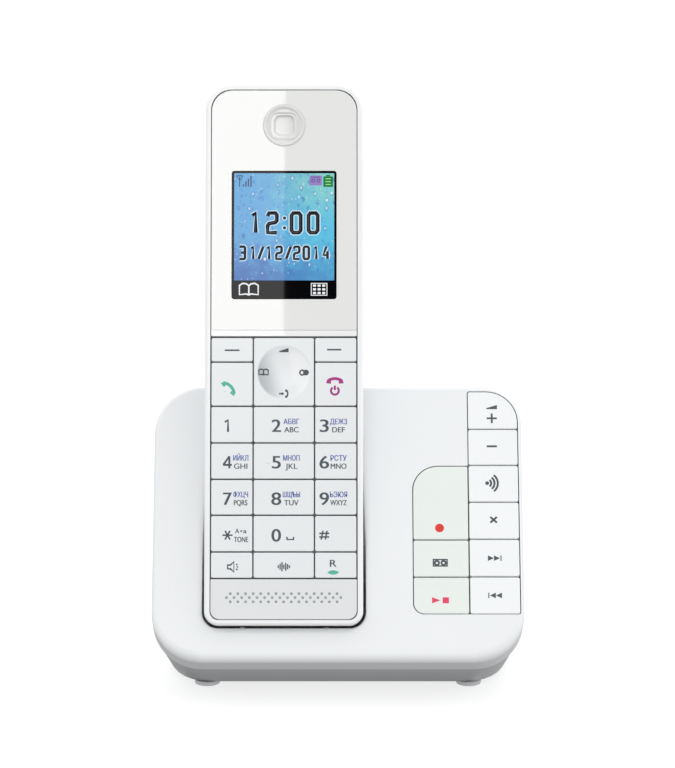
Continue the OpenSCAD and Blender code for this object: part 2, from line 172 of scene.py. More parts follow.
class Bench:
    """Modelling moves on one mesh at a time, with Blender's own operators.

    Attributes:
        near: how close a place must be to count as the same, in millimetres.
        weld: how close the vertices of a CAD copy are merged, in metres.
        flat_degrees: faces that meet more bluntly than this are made one.
    """

    near = 0.004
    weld = 2e-6
    flat_degrees = 0.6

    @staticmethod
    def hold(obj: Object) -> None:
        """Makes an object the only selected and active one, in object mode.

        Args:
            obj: the object.
        """
        if bpy.context.object and bpy.context.object.mode != "OBJECT":
            bpy.ops.object.mode_set(mode="OBJECT")
        bpy.ops.object.select_all(action="DESELECT")
        bpy.context.view_layer.objects.active = obj
        obj.select_set(True)

    @staticmethod
    def clear() -> None:
        """Deselects everything."""
        bpy.ops.object.select_all(action="DESELECT")

    @staticmethod
    def taken(name: str) -> Object:
        """Names the primitive that was just added and applies its place and size.

        Args:
            name: its name.

        Returns:
            The primitive.
        """
        obj = bpy.context.object
        obj.name = obj.data.name = name
        bpy.ops.object.transform_apply(location=True, rotation=True, scale=True)
        return obj

    @classmethod
    def block(cls, name: str, box: Box) -> Object:
        """Adds a block.

        Args:
            name: its name.
            box: its corners.

        Returns:
            The new object.
        """
        cls.clear()
        bpy.ops.mesh.primitive_cube_add(size=1, location=box.centre, scale=box.size)
        return cls.taken(name)

    @classmethod
    def round_bar(
        cls, name: str, at: Point, radius: float, z: Point, sides: int = 32, lying: bool = False
    ) -> Object:
        """Adds a cylinder.

        Args:
            name: its name.
            at: its axis, across and up.
            radius: its radius.
            z: its lower and upper end; along y where it lies down.
            sides: how many faces go round it.
            lying: True for a bar along y, whose at is then (x, z).

        Returns:
            The new object.
        """
        cls.clear()
        middle = (z[0] + z[1]) / 2
        place = (at[0], middle, at[1]) if lying else (at[0], at[1], middle)
        turn = (math.pi / 2, 0, 0) if lying else (0, 0, 0)
        bpy.ops.mesh.primitive_cylinder_add(
            vertices=sides, radius=radius, depth=z[1] - z[0], location=place, rotation=turn
        )
        return cls.taken(name)

    @classmethod
    def _deselected(cls, obj: Object) -> Mesh:
        """Holds an object and deselects its vertices, edges and faces.

        Args:
            obj: the object.

        Returns:
            Its mesh.
        """
        cls.hold(obj)
        for group in (obj.data.vertices, obj.data.edges, obj.data.polygons):
            group.foreach_set("select", [False] * len(group))
        return obj.data

    @classmethod
    def edges(cls, obj: Object, test: Test) -> None:
        """Enters edit mode with only the edges selected whose two ends pass a test.

        Args:
            obj: the mesh.
            test: says of an edge's two ends whether it is wanted.
        """
        mesh = cls._deselected(obj)
        for edge in mesh.edges:
            ends = [mesh.vertices[i] for i in edge.vertices]
            if test(ends[0].co, ends[1].co):
                edge.select = True
                for end in ends:
                    end.select = True
        bpy.context.tool_settings.mesh_select_mode = (False, True, False)
        bpy.ops.object.mode_set(mode="EDIT")

    @classmethod
    def faces(cls, obj: Object, test: Test) -> None:
        """Enters edit mode with only the faces selected whose centre and normal pass a test.

        Args:
            obj: the mesh.
            test: says of a face's centre and normal whether it is wanted.
        """
        mesh = cls._deselected(obj)
        for face in mesh.polygons:
            if test(face.center, face.normal):
                face.select = True
                for i in face.vertices:
                    mesh.vertices[i].select = True
        bpy.context.tool_settings.mesh_select_mode = (False, False, True)
        bpy.ops.object.mode_set(mode="EDIT")

    @staticmethod
    def done() -> None:
        """Leaves edit mode."""
        bpy.ops.object.mode_set(mode="OBJECT")

    @classmethod
    def bevel(cls, obj: Object, test: Test, width: float, segments: int = 3) -> None:
        """Rounds the edges that pass a test.

        Args:
            obj: the mesh.
            test: says of an edge's two ends whether it is wanted.
            width: how far the rounding reaches from the edge.
            segments: how many facets it has.
        """
        cls.edges(obj, test)
        bpy.ops.mesh.bevel(offset=width, segments=segments, affect="EDGES", clamp_overlap=True)
        cls.done()

    @classmethod
    def rounded(
        cls, name: str, box: Box, radii: Sequence[float], segments: int = 8
    ) -> Object:
        """Adds a slab with its own radius at each corner.

        Args:
            name: its name.
            box: its corners.
            radii: lower left, lower right, upper right and upper left.
            segments: how many facets each corner has.

        Returns:
            The new object.
        """
        obj = cls.block(name, box)
        low, high = box.low, box.high
        corners = [(low.x, low.y), (high.x, low.y), (high.x, high.y), (low.x, high.y)]
        for (x, y), radius in zip(corners, radii):
            cls.bevel(
                obj,
                lambda a, b, x=x, y=y: all(
                    abs(p.x - x) < cls.near and abs(p.y - y) < cls.near for p in (a, b)
                ),
                radius,
                segments,
            )
        return obj

    @classmethod
    def soften(cls, obj: Object, z: float, width: float, segments: int = 3) -> None:
        """Rounds every edge that lies at one height."""
        cls.bevel(obj, lambda a, b: max(abs(a.z - z), abs(b.z - z)) < cls.near, width, segments)

    @classmethod
    def step(
        cls, obj: Object, z: float, moves: Sequence[Point], facing: float = 1.0
    ) -> None:
        """Insets the flat face at one height again and again, each time with a rise.

        Args:
            obj: the mesh.
            z: the height of the face to start from.
            moves: each inset's thickness and its rise out of the face.
            facing: 1 for a face that looks out, -1 for one that looks back.
        """
        cls.faces(obj, lambda c, n: abs(c.z - z) < cls.near and n.z * facing > 0.9)
        for thickness, rise in moves:
            bpy.ops.mesh.inset(thickness=thickness, depth=rise, use_even_offset=True)
        cls.done()

    @classmethod
    def modify(cls, obj: Object, kind: str, **settings: object) -> None:
        """Adds a modifier and applies it.

        Args:
            obj: the mesh.
            kind: the modifier's type.
            settings: its settings.
        """
        cls.hold(obj)
        modifier = obj.modifiers.new("step", kind)
        for key, value in settings.items():
            setattr(modifier, key, value)
        bpy.ops.object.modifier_apply(modifier=modifier.name)

    @classmethod
    def combine(cls, obj: Object, tool: Object, how: str) -> None:
        """Cuts one closed mesh with another, or adds it, and removes the tool."""
        cls.modify(obj, "BOOLEAN", operation=how, solver="EXACT", object=tool)
        bpy.data.objects.remove(tool, do_unlink=True)

    @classmethod
    def join(cls, first: Object, others: Iterable[Object]) -> Object:
        """Joins meshes into the first one.

        Args:
            first: the mesh that stays.
            others: the meshes that become part of it.

        Returns:
            The joined object.
        """
        cls.hold(first)
        for other in others:
            other.select_set(True)
        bpy.ops.object.join()
        return first

    @classmethod
    def outwards(cls, obj: Object) -> None:
        """Turns all faces outwards.

        Args:
            obj: the mesh.
        """
        cls.faces(obj, lambda c, n: True)
        bpy.ops.mesh.normals_make_consistent(inside=False)
        cls.done()

    @classmethod
    def smooth(cls, obj: Object, degrees: float = 32) -> None:
        """Shades the mesh smooth across blunt edges, and keeps its large faces flat.

        Args:
            obj: the mesh.
            degrees: edges sharper than this stay sharp.
        """
        cls.hold(obj)
        bpy.ops.object.shade_smooth_by_angle(angle=math.radians(degrees))
        cls.modify(obj, "WEIGHTED_NORMAL", mode="FACE_AREA", weight=100, keep_sharp=True)

    @classmethod
    def refined(
        cls, node: str, name: str, edge: float, segments: int = 2, degrees: float = 28
    ) -> Object:
        """A copy of a CAD node with welded faces and rounded edges, in metres in the frame.

        Args:
            node: the CAD node.
            name: the new piece's name.
            edge: how far its edges are rounded, in millimetres.
            segments: how many facets a rounding has.
            degrees: edges sharper than this are rounded.

        Returns:
            The new object.
        """
        source = frame["nodes"][node]
        obj = bpy.data.objects.new(name, source.data.copy())
        obj.data.name = name
        bpy.context.scene.collection.objects.link(obj)
        cls.faces(obj, lambda c, n: True)
        bpy.ops.mesh.remove_doubles(threshold=cls.weld)
        bpy.ops.mesh.dissolve_limited(angle_limit=math.radians(cls.flat_degrees))
        cls.done()
        if edge:
            cls.modify(
                obj,
                "BEVEL",
                width=edge * MM,
                segments=segments,
                limit_method="ANGLE",
                angle_limit=math.radians(degrees),
                use_clamp_overlap=True,
            )
        cls.smooth(obj, degrees)
        return obj


# --- shader maths


class Num:
    """A number in a shader. Python's operators on it add Math nodes."""

    def __init__(self, nodes: "Nodes", socket: NodeSocket) -> None:
        """Wraps an output socket of a node tree."""
        self.nodes = nodes
        self.socket = socket

    def _math(self, operation: str, *values: "Num | float") -> "Num":
        """The result of one Math node."""
        node = self.nodes.add("ShaderNodeMath", {"operation": operation}, dict(enumerate(values)))
        return Num(self.nodes, node.outputs[0])

    def __add__(self, other: "Num | float") -> "Num":
        """Sum."""
        return self._math("ADD", self, other)

    __radd__ = __add__

    def __sub__(self, other: "Num | float") -> "Num":
        """Difference."""
        return self._math("SUBTRACT", self, other)

    def __rsub__(self, other: float) -> "Num":
        """Difference from a plain number."""
        return self._math("SUBTRACT", other, self)

    def __mul__(self, other: "Num | float") -> "Num":
        """Product."""
        return self._math("MULTIPLY", self, other)

    __rmul__ = __mul__

    def __truediv__(self, other: "Num | float") -> "Num":
        """Quotient."""
        return self._math("DIVIDE", self, other)

    def __pow__(self, other: float) -> "Num":
        """Power."""
        return self._math("POWER", self, other)

    def above(self, other: "Num | float") -> "Num":
        """1 where this is the greater, else 0."""
        return self._math("GREATER_THAN", self, other)

    def at_least(self, other: float) -> "Num":
        """The greater of this and a plain number."""
        return self._math("MAXIMUM", self, other)

    def below(self, other: "Num | float") -> "Num":
        """1 where this is the smaller, else 0."""
        return self._math("LESS_THAN", self, other)

    def folded(self, length: float) -> "Num":
        """Its place within a repeat of some length, from 0 to 1."""
        return self._math("FRACT", self / length)

    def ramp(self, start: float, end: float) -> "Num":
        """0 before start, 1 after end, and smooth in between.

        Args:
            start: where it is 0.
            end: where it is 1.

        Returns:
            The blend.
        """
        node = self.nodes.add(
            "ShaderNodeMapRange",
            {"interpolation_type": "SMOOTHSTEP", "clamp": True},
            {"Value": self, "From Min": start, "From Max": end},
        )
        return Num(self.nodes, node.outputs["Result"])


def tinted(colour: Colour, by: float) -> Colour:
    """A colour made lighter or darker by a factor."""
    return tuple(min(1.0, c * by) for c in colour)


class Nodes:
    """The node tree of one material or world, and the nodes that are added to it."""

    mix_colours = (6, 7)
    mixed_colour = 2

    def __init__(self, tree: NodeTree) -> None:
        """Empties the tree."""
        self.tree = tree
        tree.nodes.clear()

    def add(self, kind: str, settings: dict, inputs: dict) -> Node:
        """Adds one node.

        Args:
            kind: the node's type.
            settings: its properties, set first.
            inputs: values or links, by socket name or number.

        Returns:
            The node.
        """
        node = self.tree.nodes.new(kind)
        for key, value in settings.items():
            setattr(node, key, value)
        for key, value in inputs.items():
            if isinstance(value, Num):
                value = value.socket
            if isinstance(value, NodeSocket):
                self.tree.links.new(value, node.inputs[key])
            else:
                node.inputs[key].default_value = value
        return node

    def place(self) -> NodeSocket:
        """The point on the piece, in the frame's metres."""
        return self.add("ShaderNodeTexCoord", {}, {}).outputs["Object"]

    def along(self, plane: Plane, axis: Vector) -> Num:
        """How far a point lies along a direction from a plane's origin.

        Args:
            plane: the plane.
            axis: the direction.

        Returns:
            The distance in millimetres.
        """
        node = self.add(
            "ShaderNodeVectorMath", {"operation": "DOT_PRODUCT"}, {0: self.place(), 1: axis}
        )
        return Num(self, node.outputs["Value"]) * (1 / MM) - plane.origin.dot(axis) / MM

    def _stretched(self, stretch: Sequence[float]) -> NodeSocket:
        """The point on the piece, scaled along each axis."""
        scaled = self.add("ShaderNodeMapping", {}, {"Vector": self.place(), "Scale": stretch})
        return scaled.outputs[0]

    def noise(self, size: float, detail: float = 2.0, stretch: Sequence[float] = (1, 1, 1)) -> Num:
        """Smooth noise.

        Args:
            size: the size of its patches in millimetres.
            detail: how many finer layers it has.
            stretch: how much finer it is along each axis.

        Returns:
            The noise, around 0.5.
        """
        node = self.add(
            "ShaderNodeTexNoise",
            {},
            {"Vector": self._stretched(stretch), "Scale": 1 / (size * MM), "Detail": detail},
        )
        return Num(self, node.outputs[0])

    def cells(self, size: float, stretch: Sequence[float] = (1, 1, 1)) -> Num:
        """Distance to the nearest of scattered points.

        Args:
            size: the usual distance between points, in millimetres.
            stretch: how much closer they are along each axis.

        Returns:
            The distance, 0 at a point and near 1 between points.
        """
        node = self.add(
            "ShaderNodeTexVoronoi",
            {},
            {"Vector": self._stretched(stretch), "Scale": 1 / (size * MM)},
        )
        return Num(self, node.outputs["Distance"])

    def mix(self, factor: Num, first: object, second: object) -> NodeSocket:
        """Blends two colours.

        Args:
            factor: 0 for the first, 1 for the second.
            first: a colour or a socket.
            second: a colour or a socket.

        Returns:
            The blended colour.
        """
        settings = {"data_type": "RGBA", "clamp_factor": True}
        node = self.add("ShaderNodeMix", settings, {"Factor": factor})
        for number, value in zip(self.mix_colours, (first, second)):
            if isinstance(value, NodeSocket):
                self.tree.links.new(value, node.inputs[number])
            else:
                node.inputs[number].default_value = (*value, 1.0)
        return node.outputs[self.mixed_colour]

    def varied(self, factor: Num, colour: Colour, low: float, high: float) -> NodeSocket:
        """A colour that wanders between a darker and a lighter tint of itself."""
        return self.mix(factor, tinted(colour, low), tinted(colour, high))

    def relief(self, height: Num, depth: float) -> NodeSocket:
        """A surface normal from a height pattern.

        Args:
            height: the pattern, from 0 to 1.
            depth: how deep it is, in millimetres.

        Returns:
            The normal.
        """
        node = self.add(
            "ShaderNodeBump", {}, {"Height": height, "Distance": depth * MM, "Strength": 1.0}
        )
        return node.outputs[0]

    def grain(self, depth: float, size: float = 0.3) -> NodeSocket:
        """The normal of a fine moulded grain, its depth and size in millimetres."""
        return self.relief(self.noise(size, 2), depth)

    def surface(self, inputs: dict) -> None:
        """Ends the tree in a Principled shader."""
        shader = self.add("ShaderNodeBsdfPrincipled", {}, inputs)
        self.add("ShaderNodeOutputMaterial", {}, {"Surface": shader.outputs[0]})


# --- finishes


@dataclass(frozen=True)
class Finish:
    """A finish, whose material is made once and shared by its pieces."""

    name: str

    def material(self) -> Material:
        """The finish's material, made on first use.

        Returns:
            The material.
        """
        name = f"{self.name}_finish"
        found = bpy.data.materials.get(name)
        if found is None:
            found = bpy.data.materials.new(name)
            found.use_nodes = True
            self.build(Nodes(found.node_tree))
        return found

    def build(self, nodes: Nodes) -> None:
        """Builds the node tree; each kind of finish has its own."""
        raise NotImplementedError

    def dress(self, obj: Object) -> None:
        """Gives a piece this material alone."""
        obj.data.materials.clear()
        obj.data.materials.append(self.material())


@dataclass(frozen=True)
class Moulded(Finish):
    """Injection-moulded plastic with a fine grain, faint clouding and a gloss that varies."""

    colour: Colour
    roughness: float = 0.35
    coat: float = 0.0
    coat_roughness: float = 0.08
    grain: float = 0.28
    grain_depth: float = 0.004
    clouding: float = 0.02
    specular: float = 0.5

    def build(self, nodes: Nodes) -> None:
        """Builds the plastic.

        Args:
            nodes: the empty tree.
        """
        cloud = nodes.noise(14, 3)
        speck = nodes.noise(0.6, 2)
        blend = cloud * 0.7 + speck * 0.3
        base = nodes.varied(blend, self.colour, 1 - self.clouding, 1 + self.clouding)
        nodes.surface({
            "Base Color": base,
            "Roughness": (0.82 + cloud * 0.24 + speck * 0.12) * self.roughness,
            "Coat Weight": self.coat,
            "Coat Roughness": self.coat_roughness,
            "Specular IOR Level": self.specular,
            "Normal": nodes.grain(self.grain_depth, self.grain),
        })


@dataclass(frozen=True)
class DishedKey(Finish):
    """Satin key plastic with painted shade on its dish's left and a painted highlight on its right.
    """

    colour: Colour
    # shade and the colour after it are the dish's painted shade and painted highlight
    shade: Colour
    bright: Colour
    plane: Plane
    middle: float
    radius: float

    def build(self, nodes: Nodes) -> None:
        """Builds the plastic.

        Args:
            nodes: the empty tree.
        """
        across = nodes.along(self.plane, self.plane.across)
        rise = nodes.along(self.plane, self.plane.up) - self.middle
        away = (across * across + rise * rise) ** 0.5
        inside = away.ramp(self.radius, self.radius - 0.7)
        lean = across + rise * 0.25
        cloud = nodes.noise(8, 2)
        body = nodes.varied(cloud, self.colour, 0.985, 1.015)
        # painted shade on the dish's left wall and a painted highlight on its right, standing in
        # for light from the left
        shaded = nodes.mix(inside * lean.ramp(-0.5, -self.radius), body, self.shade)
        nodes.surface({
            "Base Color": nodes.mix(inside * lean.ramp(1.0, 4.5), shaded, self.bright),
            "Roughness": 0.28 + cloud * 0.05,
            "Coat Weight": 0.25,
            "Coat Roughness": 0.2,
            "Normal": nodes.grain(0.0015),
        })


@dataclass(frozen=True)
class TrayedRim(Finish):
    """Pearl silver rim lacquer outside, and painted shade in the tray below the keys."""

    colour: Colour
    tray: Colour
    plane: Plane
    tray_top: float = -0.55
    upper: Point = (14.9, 145.9)
    upper_radius: float = 6.3
    lower: Point = (18.3, 4.0)
    lower_radius: float = 2.9

    def build(self, nodes: Nodes) -> None:
        """Builds the lacquer and the painted shade in the tray.

        Args:
            nodes: the empty tree.
        """
        depth = nodes.along(self.plane, self.plane.out)
        across = nodes.along(self.plane, self.plane.across)
        length = nodes.along(self.plane, self.plane.up)
        side = (across * across) ** 0.5
        beyond = (side - self.upper[0]).at_least(0)
        above = (length - self.upper[1]).at_least(0)
        inside = (beyond * beyond + above * above).below(self.upper_radius**2)
        beyond = (side - self.lower[0]).at_least(0)
        under = (self.lower[1] - length).at_least(0)
        inside = inside * (beyond * beyond + under * under).below(self.lower_radius**2)
        # grey below the tray's top: painted shade in the gaps between the keys
        inside = inside * depth.ramp(self.tray_top, self.tray_top - 0.5)
        flake = nodes.noise(0.12, 1)
        cloud = nodes.noise(9, 2)
        pearl = nodes.varied(flake * 0.5 + cloud * 0.5, self.colour, 0.95, 1.04)
        nodes.surface({
            "Base Color": nodes.mix(inside, pearl, self.tray),
            "Roughness": 0.27 + (flake - 0.5) * 0.1 + inside * 0.35,
            "Coat Weight": 0.2,
            "Coat Roughness": 0.12,
            "Normal": nodes.relief(flake, 0.001),
        })


@dataclass(frozen=True)
class LacqueredPanel(Finish):
    """High-gloss pearl white panel with a painted highlight as a brighter strip along its lower
    lip.
    """

    colour: Colour
    lip_colour: Colour
    plane: Plane
    lip_top: float

    def build(self, nodes: Nodes) -> None:
        """Builds the lacquer.

        Args:
            nodes: the empty tree.
        """
        length = nodes.along(self.plane, self.plane.up)
        lip = length.below(self.lip_top)
        pearl = nodes.noise(11, 2)
        flake = nodes.noise(0.1, 1)
        body = nodes.varied(pearl * 0.6 + flake * 0.4, self.colour, 0.985, 1.015)
        nodes.surface({
            # the lighter lip colour is a painted highlight
            "Base Color": nodes.mix(lip, body, self.lip_colour),
            "Roughness": pearl * 0.01 + flake * 0.01 + 0.012,
            "Specular IOR Level": 0.5,
        })


UNLIT_GLASS = {"Base Color": (0.004, 0.004, 0.005, 1.0), "Specular IOR Level": 0.18}


@dataclass(frozen=True)
class Droplets(Finish):
    """The lit picture: water drops over a blue to turquoise field."""

    plane: Plane
    low: Point
    high: Point
    upper_left: Colour = (0.15, 0.42, 0.74)
    upper_right: Colour = (0.27, 0.68, 0.68)
    lower_left: Colour = (0.085, 0.20, 0.52)
    lower_right: Colour = (0.10, 0.34, 0.64)
    middle_right: Colour = (0.13, 0.58, 0.82)
    drop_shade: Colour = (0.03, 0.14, 0.46)
    drop_dark: Colour = (0.02, 0.19, 0.55)
    drop_light: Colour = (0.9, 0.97, 1.0)
    drop_spark: Colour = (0.85, 0.95, 1.0)
    glow: float = 0.93

    def build(self, nodes: Nodes) -> None:
        """Builds the picture.

        Args:
            nodes: the empty tree.
        """
        wobble = (nodes.noise(2.6, 2) - 0.5) * 0.5
        wide, high = self.high[0] - self.low[0], self.high[1] - self.low[1]
        across = (nodes.along(self.plane, self.plane.across) - self.low[0]) / wide
        height = (nodes.along(self.plane, self.plane.up) - self.low[1]) / high
        right = (across + wobble).ramp(0.15, 0.95)
        top = nodes.mix(right, self.upper_left, self.upper_right)
        centre = nodes.mix(right, self.upper_left, self.middle_right)
        bottom = nodes.mix(right, self.lower_left, self.lower_right)
        field_colour = nodes.mix((height + wobble).ramp(0.0, 0.45), bottom, centre)
        field_colour = nodes.mix((height + wobble * 0.5).ramp(0.45, 0.95), field_colour, top)
        large = nodes.cells(2.1, (1.0, 0.7, 0.7))
        small = nodes.cells(0.95, (1.0, 0.75, 0.75))
        streak = nodes.noise(1.1, 3, (1.0, 0.55, 0.55))
        shade = large.ramp(0.36, 0.16) * streak.ramp(0.40, 0.56)
        colour = nodes.mix(shade * 0.6, field_colour, self.drop_shade)
        light = large.ramp(0.22, 0.08) * nodes.noise(2.4, 1).ramp(0.44, 0.56)
        colour = nodes.mix(light * 0.85, colour, self.drop_light)
        spark = small.ramp(0.2, 0.08) * nodes.noise(3.1, 1).ramp(0.42, 0.56)
        colour = nodes.mix(spark * 0.8, colour, self.drop_spark)
        dark = small.ramp(0.38, 0.24) * small.ramp(0.12, 0.2) * streak.ramp(0.54, 0.38)
        colour = nodes.mix(dark * 0.5, colour, self.drop_dark)
        nodes.surface({
            **UNLIT_GLASS,
            "Roughness": 0.015 + streak * 0.01,
            "Emission Color": colour,
            "Emission Strength": self.glow,
        })


@dataclass(frozen=True)
class Lit(Finish):
    """A sign on the display that gives its own light, with a faint dot grid."""

    colour: Colour
    strength: float = 1.0

    def build(self, nodes: Nodes) -> None:
        """Builds the sign's material.

        Args:
            nodes: the empty tree.
        """
        dots = nodes.noise(0.2, 1)
        nodes.surface({
            **UNLIT_GLASS,
            "Roughness": 0.015 + dots * 0.01,
            "Emission Color": nodes.varied(dots, self.colour, 0.96, 1.04),
            "Emission Strength": self.strength,
        })


@dataclass(frozen=True)
class Ink(Finish):
    """Screen-printed ink: dense, slightly uneven, a little raised."""

    colour: Colour

    def build(self, nodes: Nodes) -> None:
        """Builds the ink.

        Args:
            nodes: the empty tree.
        """
        film = nodes.noise(0.25, 2)
        nodes.surface({
            "Base Color": nodes.varied(film, self.colour, 0.9, 1.08),
            "Roughness": 0.5 + (film - 0.5) * 0.15,
            "Normal": nodes.relief(film, 0.003),
        })


@dataclass(frozen=True)
class Metal(Finish):
    """Plated sheet metal with fine drawn lines."""

    colour: Colour
    roughness: float = 0.28

    def build(self, nodes: Nodes) -> None:
        """Builds the metal.

        Args:
            nodes: the empty tree.
        """
        lines = nodes.noise(0.5, 3, (8, 1, 1))
        nodes.surface({
            "Base Color": nodes.varied(lines, self.colour, 0.85, 1.0),
            "Metallic": 1.0,
            "Roughness": self.roughness + (lines - 0.5) * 0.2,
            "Normal": nodes.relief(lines, 0.004),
        })


@dataclass(frozen=True)
class Board(Finish):
    """Green solder mask over copper tracks and pads."""

    mask: Colour = (0.012, 0.11, 0.05)
    track: Colour = (0.05, 0.24, 0.10)
    pad: Colour = (0.62, 0.48, 0.22)
    pitch: float = 1.4

    def build(self, nodes: Nodes) -> None:
        """Builds the board.

        Args:
            nodes: the empty tree.
        """
        across = nodes.along(HANDSET, HANDSET.across)
        bent = nodes.noise(6, 0) * 6
        tracks = (across + bent).folded(self.pitch).above(0.62)
        colour = nodes.mix(tracks, self.mask, self.track)
        pads = nodes.cells(3.2).below(0.16)
        nodes.surface({
            "Base Color": nodes.mix(pads, colour, self.pad),
            "Metallic": pads * 0.9,
            "Roughness": 0.35 - pads * 0.08,
            "Normal": nodes.relief(tracks + pads, 0.03),
        })


@dataclass(frozen=True)
class CellWrap(Finish):
    """Printed sleeve of a rechargeable cell: a coloured body with a pale band."""

    colour: Colour
    band: Colour
    plane: Plane
    band_y: Point = (118, 126)
    blur: float = 0.3

    def build(self, nodes: Nodes) -> None:
        """Builds the sleeve.

        Args:
            nodes: the empty tree.
        """
        length = nodes.along(self.plane, self.plane.up)
        low, high = self.band_y
        banded = length.ramp(low, low + self.blur) * length.ramp(high, high - self.blur)
        film = nodes.noise(1.5, 2)
        nodes.surface({
            "Base Color": nodes.mix(banded, self.colour, self.band),
            "Roughness": 0.25 + film * 0.12,
            "Normal": nodes.relief(film, 0.01),
        })


@dataclass(frozen=True)
class MicPanel(Finish):
    """White plastic with painted shade in its small dimples."""

    colour: Colour
    dimple: Colour = (0.45, 0.46, 0.47)

    def build(self, nodes: Nodes) -> None:
        """Builds the plastic and the painted shade in its dimples.

        Args:
            nodes: the empty tree.
        """
        depth = nodes.along(HANDSET, HANDSET.out)
        cloud = nodes.noise(12, 3)
        body = nodes.varied(cloud, self.colour, 0.98, 1.02)
        nodes.surface({
            # darker below the surface: painted shade in the dimples
            "Base Color": nodes.mix(depth.ramp(-0.12, -0.28), body, self.dimple),
            "Roughness": 0.34 + (cloud - 0.5) * 0.08,
            "Normal": nodes.grain(0.002),
        })


@dataclass(frozen=True)
class FaceShell(Finish):
    """Pearl white case plastic, with painted shade in the key tray below the face."""

    colour: Colour
    tray: Colour
    corner: Point = (41.5, 70.7)
    radius: float = 10.35
    left: float = 20.6
    foot: float = 13.0

    def build(self, nodes: Nodes) -> None:
        """Builds the plastic.

        Args:
            nodes: the empty tree.
        """
        depth = nodes.along(FACE, FACE.out)
        across = nodes.along(FACE, FACE.across)
        length = nodes.along(FACE, FACE.up)
        beyond = (across - self.corner[0]).at_least(0)
        above = (length - self.corner[1]).at_least(0)
        within = (beyond * beyond + above * above).below(self.radius**2)
        within = within * across.above(self.left) * length.above(self.foot)
        # the grey in the key tray is painted shade
        tray = within * depth.ramp(-0.5, -0.9)
        cloud = nodes.noise(18, 3)
        speck = nodes.noise(0.6, 2)
        body = nodes.varied(cloud * 0.7 + speck * 0.3, self.colour, 0.985, 1.015)
        nodes.surface({
            "Base Color": nodes.mix(tray, body, self.tray),
            "Roughness": 0.36 + (cloud - 0.5) * 0.08,
            "Coat Weight": 0.12,
            "Coat Roughness": 0.25,
            "Normal": nodes.grain(0.0025),
        })


CASE_WHITE = Moulded("case_white", (0.845, 0.855, 0.872), roughness=0.4, grain_depth=0.003)
# a darker copy of the case white: painted shade for the base's shaded front chin
CABINET_PAINTED_SHADE = Moulded("cabinet_painted_shade", (0.64, 0.65, 0.655), roughness=0.45, grain_depth=0.005)
KEY_WHITE = Moulded(
    "key_white", (0.88, 0.895, 0.905), 0.3, coat=0.25, coat_roughness=0.2, grain_depth=0.0015
)
BASE_KEY_WHITE = Moulded(
    "base_key_white", (0.95, 0.96, 0.965), 0.34, coat=0.1, coat_roughness=0.2, grain_depth=0.0015
)
ANSWER_WHITE = Moulded(
    "answer_key_white", (0.875, 0.915, 0.87), 0.32, coat=0.2, coat_roughness=0.2, grain_depth=0.0015
)
DISH_AT, DISH_RADIUS = 71.1, 7.7
# the dish key's finish: painted shade on the dish's left, painted highlight on its right
DISH_PAINTED_SHADE = DishedKey(
    "dish_painted_shade",
    (0.88, 0.895, 0.905),
    shade=(0.50, 0.53, 0.545),
    bright=(0.97, 0.975, 0.98),
    plane=HANDSET,
    middle=DISH_AT,
    radius=DISH_RADIUS,
)
# the panel's second colour is a painted highlight along its lower lip
PANEL = LacqueredPanel("panel_gloss", (0.885, 0.885, 0.865), (0.97, 0.97, 0.96), HANDSET, 83.1)
# the rim's second colour is painted shade in the key tray
RIM = TrayedRim("rim_silver", (0.985, 0.99, 0.99), (0.34, 0.35, 0.355), HANDSET)
EARPIECE_WHITE = Moulded(
    "earpiece_gloss", (0.79, 0.79, 0.775), 0.12, coat=0.6, coat_roughness=0.04, grain_depth=0.0006
)
SCREEN_BLACK = Moulded(
    "screen_black", (0.003, 0.003, 0.004), 0.02, grain_depth=0.00002, clouding=0.1, specular=0.15
)
LOWER_PANEL = MicPanel("lower_panel", (0.83, 0.84, 0.85))
# the face's second colour is painted shade in the key tray
BASE_FACE = FaceShell("base_face", (0.905, 0.915, 0.925), (0.6, 0.61, 0.62))
BLACK_PLASTIC = Moulded("black_plastic", (0.028, 0.028, 0.032), roughness=0.55, grain_depth=0.012)
RUBBER = Moulded("keypad_rubber", (0.28, 0.29, 0.30), roughness=0.75, grain=0.5, grain_depth=0.02)
FOOT_RUBBER = Moulded("foot_rubber", (0.60, 0.61, 0.62), roughness=0.8, grain=0.5, grain_depth=0.03)
STEEL = Metal("contact_steel", (0.78, 0.78, 0.79))
BOARD = Board("circuit_board")
CELL = CellWrap("cell_wrap", (0.03, 0.30, 0.14), (0.80, 0.82, 0.80), HANDSET)

GREY_INK = Ink("ink_grey", (0.085, 0.10, 0.115))
BLUE_INK = Ink("ink_blue", (0.085, 0.12, 0.45))
TEAL_INK = Ink("ink_teal", (0.10, 0.52, 0.38))
MAGENTA_INK = Ink("ink_magenta", (0.45, 0.03, 0.26))
RED_INK = Ink("ink_red", (0.80, 0.035, 0.02))
ROSE_INK = Ink("ink_rose", (0.85, 0.055, 0.12))
LIT_WHITE = Lit("lit_white", (0.9, 0.92, 0.95))
LIT_GLOW = Lit("lit_glow", (0.62, 0.80, 0.93))
LIT_BLACK = Lit("lit_black", (0.012, 0.012, 0.016))
LIT_VIOLET = Lit("lit_violet", (0.32, 0.22, 0.55))
LIT_GREEN = Lit("lit_green", (0.02, 0.22, 0.05))
LIT_NAVY = Lit("lit_navy", (0.05, 0.09, 0.22))
LIT_LIME = Lit("lit_lime", (0.45, 0.85, 0.40))


# --- flat marks


